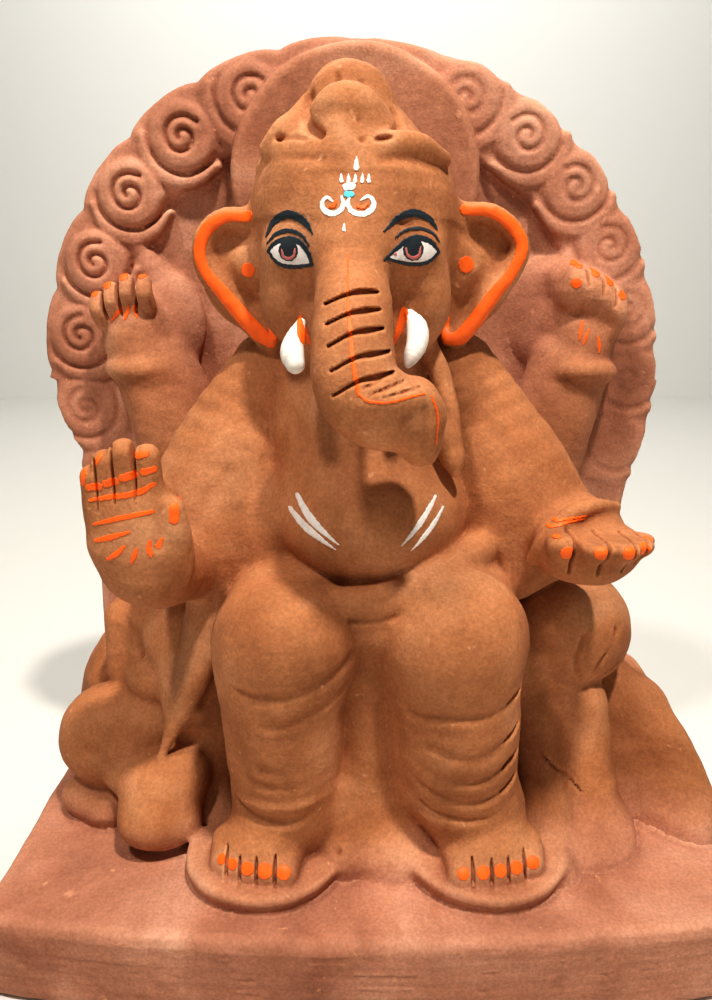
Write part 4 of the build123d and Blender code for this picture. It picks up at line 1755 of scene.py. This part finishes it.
def paint_face():
    face = (-44, -14)
    hooks = {
        RIGHT: brush(
            [(-33.5, 201.4), (-30.6, 198.8), (-29.8, 201.5), (-30.4, 205.6)], [2.2, 1.4, 1.3, 1.0]
        ),
        LEFT: brush([(28.0, 200.8), (24.8, 199.8), (23.9, 202.0), (24.4, 206.2)], [2.0, 1.4, 1.3, 0.9]),
    }
    for side in (RIGHT, LEFT):
        rim = brush(EAR_RIMS[side], [1.6, 1.7, 1.9, 1.8, 1.7, 2.1, 2.4, 2.4, 1.6])
        paint_film("ear_rim_paint_" + SIDE[side], "orange", [rim, hooks[side]], (-16, -4))
    paint_film("ear_dot_right", "orange", [dot(-36.8, 220.7, 2.1)], (-16, -1), voxel=FINE_PAINT)
    paint_film("ear_dot_left", "orange", [dot(29.4, 222.3, 2.4)], (-16, -1), voxel=FINE_PAINT)

    eye_right = [
        (-28.2, 225.4), (-26.1, 227.2), (-22.4, 228.1), (-19.2, 226.9), (-17.2, 224.3),
        (-16.6, 222.0), (-21.3, 221.5), (-24.7, 222.0), (-26.9, 223.4),
    ]
    eye_left = [
        (4.5, 223.1), (7.2, 225.6), (9.6, 227.4), (12.8, 228.3), (16.4, 227.4),
        (18.7, 225.2), (16.1, 222.9), (12.3, 222.2), (7.9, 222.6),
    ]
    paint_film("eye_white_paint", "white", [patch(eye_right), patch(eye_left)], face, voxel=FINE_PAINT)
    black = [
        dot(-22.5, 225.2, 2.75),
        dot(11.6, 225.5, 2.95),
        brush(
            [
                (-28.5, 225.2), (-26.3, 227.3), (-22.4, 228.3), (-19.0, 227.1), (-16.9, 224.3),
                (-16.0, 221.5),
            ],
            [0.5, 0.7, 0.8, 0.75, 0.65, 0.4],
        ),
        brush(
            [(-28.4, 225.6), (-26.9, 223.2), (-24.7, 221.6), (-21.3, 221.0), (-16.0, 221.4)],
            [0.4, 0.45, 0.5, 0.6, 0.4],
        ),
        brush(
            [(3.6, 222.6), (7.2, 225.8), (9.6, 227.6), (12.8, 228.6), (16.6, 227.6), (19.2, 225.0)],
            [0.3, 0.6, 0.8, 0.85, 0.75, 0.4],
        ),
        brush(
            [(4.3, 222.9), (7.9, 222.1), (12.3, 221.6), (16.1, 222.4), (19.0, 225.0)],
            [0.4, 0.45, 0.5, 0.5, 0.4],
        ),
        brush(
            [(-28.9, 227.2), (-26.2, 229.7), (-22.4, 230.5), (-18.8, 229.2), (-16.7, 226.4)],
            [0.2, 0.55, 0.6, 0.5, 0.2],
        ),
        brush(
            [(6.4, 228.3), (9.4, 230.4), (13.5, 231.1), (17.2, 230.0), (19.2, 227.8)],
            [0.2, 0.4, 0.5, 0.45, 0.2],
        ),
        brush(
            [(-29.2, 229.4), (-27.0, 233.2), (-22.5, 234.8), (-17.9, 232.6), (-15.7, 229.5)],
            [0.35, 0.9, 1.1, 0.9, 0.2],
        ),
        brush(
            [(3.4, 229.8), (7.4, 233.5), (12.0, 235.1), (16.3, 233.8), (18.6, 231.2)],
            [0.2, 0.85, 1.05, 0.8, 0.3],
        ),
    ]
    paint_film("eye_line_paint", "slate", black, face, 1, FINE_PAINT)
    pink = [
        brush(
            [(-24.4, 225.6), (-24.0, 223.9), (-22.5, 223.2), (-21.0, 223.9), (-20.7, 225.6)],
            [0.25, 0.4, 0.45, 0.4, 0.25],
        ),
        brush(
            [(9.6, 225.8), (10.0, 224.1), (11.6, 223.3), (13.2, 224.1), (13.6, 226.2)],
            [0.25, 0.4, 0.5, 0.45, 0.25],
        ),
        dot(6.6, 224.2, 0.45),
    ]
    paint_film("iris_paint", "pink", pink, face, 2, FINE_PAINT)

    tilak = [drop(-3.9, 246.0, 0.75, 2.9)]
    tilak += [drop(x, 242.6, 0.55, 2.0) for x in (-7.9, -6.0, -4.2, -2.3, -0.6)]
    tilak.append(brush([(-6.6, 241.1), (-5.0, 241.3)], [1.0, 1.0]))
    tilak.append(
        brush(
            [
                (-7.9, 238.6), (-7.3, 236.9), (-8.2, 235.0), (-10.5, 234.3), (-12.6, 235.5),
                (-13.0, 237.4), (-11.6, 238.5), (-10.2, 237.5),
            ],
            [0.35, 0.6, 0.7, 0.75, 0.75, 0.6, 0.45, 0.3],
        ),
    )
    tilak.append(
        brush(
            [
                (-5.7, 238.5), (-6.1, 236.4), (-4.7, 234.5), (-2.0, 234.1), (0.3, 235.5), (0.6, 237.6),
                (-1.0, 238.7), (-2.6, 237.7),
            ],
            [0.35, 0.6, 0.7, 0.75, 0.75, 0.6, 0.45, 0.3],
        ),
    )
    tilak.append(drop(-7.1, 229.9, 0.45, 1.9))
    paint_film("tilak_white_paint", "white", tilak, face, voxel=FINE_PAINT)
    paint_film(
        "tilak_cyan_paint", "cyan",
        [brush([(-6.4, 239.2), (-5.2, 239.2)], [0.8, 0.8])],
        face, 1, FINE_PAINT,
    )
    glow = [
        brush([(-11.2, 235.9), (-9.8, 236.5), (-9.2, 237.6)], [0.3, 0.6, 0.3]),
        brush([(-3.5, 236.0), (-2.0, 235.9), (-1.0, 236.8)], [0.4, 0.55, 0.3]),
    ]
    paint_film("tilak_orange_paint", "orange", glow, face, 1, FINE_PAINT)


def paint_trunk():
    strokes = [
        brush(
            [
                (-6.0, 224.0), (-6.1, 213.6), (-5.6, 207.5), (-5.2, 202.3), (-4.6, 197.6),
                (-3.9, 193.5), (-3.4, 190.6),
            ],
            [0.2, 0.3, 0.55, 0.6, 0.55, 0.6, 0.35],
        ),
        brush(
            [(-3.3, 190.8), (-0.9, 189.3), (3.5, 188.9), (9.3, 189.9), (13, 190.2)],
            [0.3, 0.35, 0.35, 0.3, 0.2],
        ),
        brush([(14.8, 189.4), (16.6, 184.4), (16.6, 176.8)], [0.25, 0.35, 0.25]),
        brush([(-19.9, 207.4), (-18.9, 203.0), (-16.3, 198.0)], [0.6, 1.1, 0.15]),
        brush([(9.6, 209.2), (8.4, 204.0), (6.0, 198.4)], [1.0, 1.1, 0.15]),
    ]
    paint_film("trunk_line_paint", "orange", strokes, (-80, -24), voxel=FINE_PAINT)


def paint_body():
    right = [
        brush([(-23.6, 151.6), (-17.5, 146.9), (-9.8, 142.0)], [0.9, 1.25, 0.15]),
        brush([(-21.4, 155.8), (-16.6, 150.0), (-8.8, 143.6)], [0.8, 1.25, 0.15]),
    ]
    left = [
        brush([(19.4, 156.2), (14.4, 149.8), (9.0, 143.6)], [0.5, 0.95, 0.15]),
        brush([(21.8, 152.9), (16.8, 146.8), (12.1, 141.7)], [0.4, 0.85, 0.15]),
    ]
    paint_film("chest_paint", "white", right + left, (-56, -26))


def paint_hands():
    marks = [
        brush([(-77.7, 162.4), (-74.6, 162.9)], [1.0, 1.1]),
        brush([(-72.4, 163.8), (-69.7, 164.5)], [1.1, 1.1]),
        brush([(-67.6, 165.6), (-64.8, 166.2)], [1.1, 1.2]),
        brush([(-62.0, 167.0), (-59.4, 167.6)], [1.0, 0.9]),
        brush(
            [(-77.8, 158.7), (-73.0, 159.8), (-68.3, 160.4), (-63.3, 161.4), (-59.8, 163.4)],
            [0.4, 0.7, 0.8, 0.9, 0.6],
        ),
        brush([(-77.3, 151.9), (-69.4, 154.1), (-60.4, 155.8)], [0.4, 0.75, 0.6]),
        brush([(-77.0, 147.2), (-72.6, 148.4), (-66.9, 150.2)], [0.5, 0.85, 0.4]),
        brush([(-73.8, 141.9), (-70.8, 143.9), (-68.6, 146.0)], [0.5, 0.8, 0.4]),
        brush([(-67.0, 141.3), (-66.0, 143.2), (-65.2, 145.2)], [0.4, 0.8, 0.4]),
        brush([(-61.4, 143.6), (-61.8, 145.2), (-61.4, 147.4)], [0.7, 0.8, 0.5]),
        brush([(-59.4, 145.8), (-58.8, 147.0), (-58.2, 148.0)], [0.8, 0.6, 0.3]),
        brush([(-54.6, 156.6), (-54.6, 153.4)], [1.3, 1.4]),
        brush([(-79.4, 163.6), (-78.8, 166.8)], [0.8, 0.8]),
        brush([(-74.8, 169.6), (-73.4, 171.6)], [0.8, 0.7]),
        brush([(-63.6, 171.6), (-61.0, 172.2)], [1.0, 1.0]),
    ]
    paint_film("raised_hand_paint", "orange", marks, (-58, -38), voxel=FINE_PAINT)

    tips = [tip for _, tip, _ in FINGERS_LEFT]
    marks = [
        spot(x, y - r + 0.6, z - 0.6, 1.9) for (x, y, z), r in zip(tips, (4.8, 4.9, 4.9, 4.4, 3.6))
    ]
    lines = [
        ((51.2, 148.0), (57.0, 149.4), (64.0, 149.6)), ((52.6, 149.6), (58.0, 150.4), (66.0, 150.3))
    ]
    marks += [brush(line, [0.25, 0.4, 0.2]) for line in lines]
    paint_film("lowered_hand_paint", "orange", marks, (-66, -36), voxel=FINE_PAINT)

    marks = [
        dot(-98.6, 214.0, 1.5),
        dot(-93.6, 216.8, 1.6),
        dot(-87.4, 219.6, 1.6),
        dot(-81.0, 220.4, 1.6),
        brush([(-92.9, 204.2), (-90.5, 206.6), (-88.4, 208.7)], [0.3, 0.7, 0.3]),
        brush([(-87.9, 204.5), (-86.9, 207.0), (-86.0, 209.3)], [0.3, 0.7, 0.3]),
        brush([(-83.6, 205.2), (-84.0, 207.5), (-84.2, 209.6)], [0.3, 0.7, 0.3]),
    ]
    paint_film("rear_right_hand_paint", "orange", marks, (14, 40), voxel=FINE_PAINT)

    marks = [
        dot(76.3, 224.0, 1.7),
        dot(82.5, 221.0, 1.7),
        dot(88.1, 218.0, 1.7),
        dot(92.8, 213.2, 1.7),
        dot(75.1, 217.3, 1.8),
        brush([(79.2, 203.8), (78.6, 200.4), (78.3, 197.3)], [0.35, 0.65, 0.3]),
        brush([(81.6, 201.0), (80.4, 198.0), (79.6, 195.5)], [0.3, 0.6, 0.3]),
        brush([(85.0, 198.4), (85.7, 195.4), (85.9, 192.7)], [0.35, 0.7, 0.3]),
    ]
    paint_film("rear_left_hand_paint", "orange", marks, (14, 46), voxel=FINE_PAINT)


def paint_toes():
    sizes = {RIGHT: [1.7, 1.8, 2.1, 2.5, 2.5], LEFT: [2.1, 2.3, 2.2, 2.3, 2.3]}
    for side in (RIGHT, LEFT):
        nails = [spot(x, y - 3.6, z + 3.0, r) for (x, y, z), r in zip(TOES[side], sizes[side])]
        paint_film("toe_paint_" + SIDE[side], "orange", nails, (-66, -46), voxel=FINE_PAINT)


CLAY = {name: clay_material(name) for name in ("figure_clay", "cloth_clay", "throne_clay", "base_clay")}
CLAY["white_paint_clay"] = paint_material("white_paint_clay", srgb(238, 232, 222), 0.5)

find_bounds(LUMPS.values())
for lump in LUMPS.values():
    obj = build_lump(lump)
    obj.data.materials.append(CLAY[lump.slot])

paint_face()
paint_trunk()
paint_body()
paint_hands()
paint_toes()

# ------------------------------------------------------------------ floor, light and camera
def stage_plane(name, corners, material):
    mesh = bpy.data.meshes.new(name)
    mesh.from_pydata(corners, [], [(0, 1, 2, 3)])
    mesh.materials.append(material)
    obj = bpy.data.objects.new(name, mesh)
    bpy.context.scene.collection.objects.link(obj)


def stage_material(name, colour):
    mat = bpy.data.materials.new(name)
    mat.use_nodes = True
    mat.node_tree.nodes["Principled BSDF"].inputs["Base Color"].default_value = colour
    mat.node_tree.nodes["Principled BSDF"].inputs["Roughness"].default_value = 0.7
    return mat


stage_plane(
    "floor",
    [(-4, -4, 0), (4, -4, 0), (4, 4, 0), (-4, 4, 0)],
    stage_material("floor_paint", srgb(204, 202, 196)),
)
stage_plane(
    "backdrop",
    [(-4, 1.3, -0.5), (4, 1.3, -0.5), (4, 1.3, 3), (-4, 1.3, 3)],
    stage_material("backdrop_paint", srgb(232, 232, 228)),
)


def area_light(name, place, target, size, power, colour):
    light = bpy.data.lights.new(name, "AREA")
    light.shape = "DISK"
    light.size = size
    light.energy = power
    light.color = colour
    obj = bpy.data.objects.new(name, light)
    bpy.context.scene.collection.objects.link(obj)
    obj.location = place
    aim = np.array(target) - np.array(place)
    obj.rotation_euler = (
        math.atan2(math.hypot(aim[0], aim[1]), -aim[2]),
        0,
        math.atan2(aim[1], aim[0]) - math.pi / 2,
    )


FIGURE_MIDDLE = (0, 0, 0.18)
area_light("key", (0.16, -0.31, 1.05), FIGURE_MIDDLE, 0.07, 9.6, (1.0, 0.94, 0.86))
area_light("fill", (-0.30, -0.32, 1.02), FIGURE_MIDDLE, 0.10, 4.8, (1.0, 0.94, 0.87))
area_light("front", (0.0, -1.0, 0.40), FIGURE_MIDDLE, 0.6, 1.1, (1.0, 0.93, 0.86))
area_light("wall", (0.0, 0.85, 1.5), (0, 1.3, 0.15), 1.0, 15, (1.0, 1.0, 0.98))

world = bpy.data.worlds.new("studio")
world.use_nodes = True
world.node_tree.nodes["Background"].inputs["Color"].default_value = (1.0, 0.97, 0.94, 1)
world.node_tree.nodes["Background"].inputs["Strength"].default_value = 0.09
bpy.context.scene.world = world
bpy.context.scene.view_settings.view_transform = "Standard"
bpy.context.scene.view_settings.look = "Medium High Contrast"

CAMERA_DIP = 15.6  # degrees that the camera looks down
camera_data = bpy.data.cameras.new("camera")
camera_data.lens = 27.04
camera_data.sensor_width = 36
camera_data.clip_start = 0.01
camera = bpy.data.objects.new("camera", camera_data)
bpy.context.scene.collection.objects.link(camera)
camera.location = (-0.004, -0.249, 0.2148)
camera.rotation_euler = (math.radians(90 - CAMERA_DIP), 0, 0)
bpy.context.scene.camera = camera
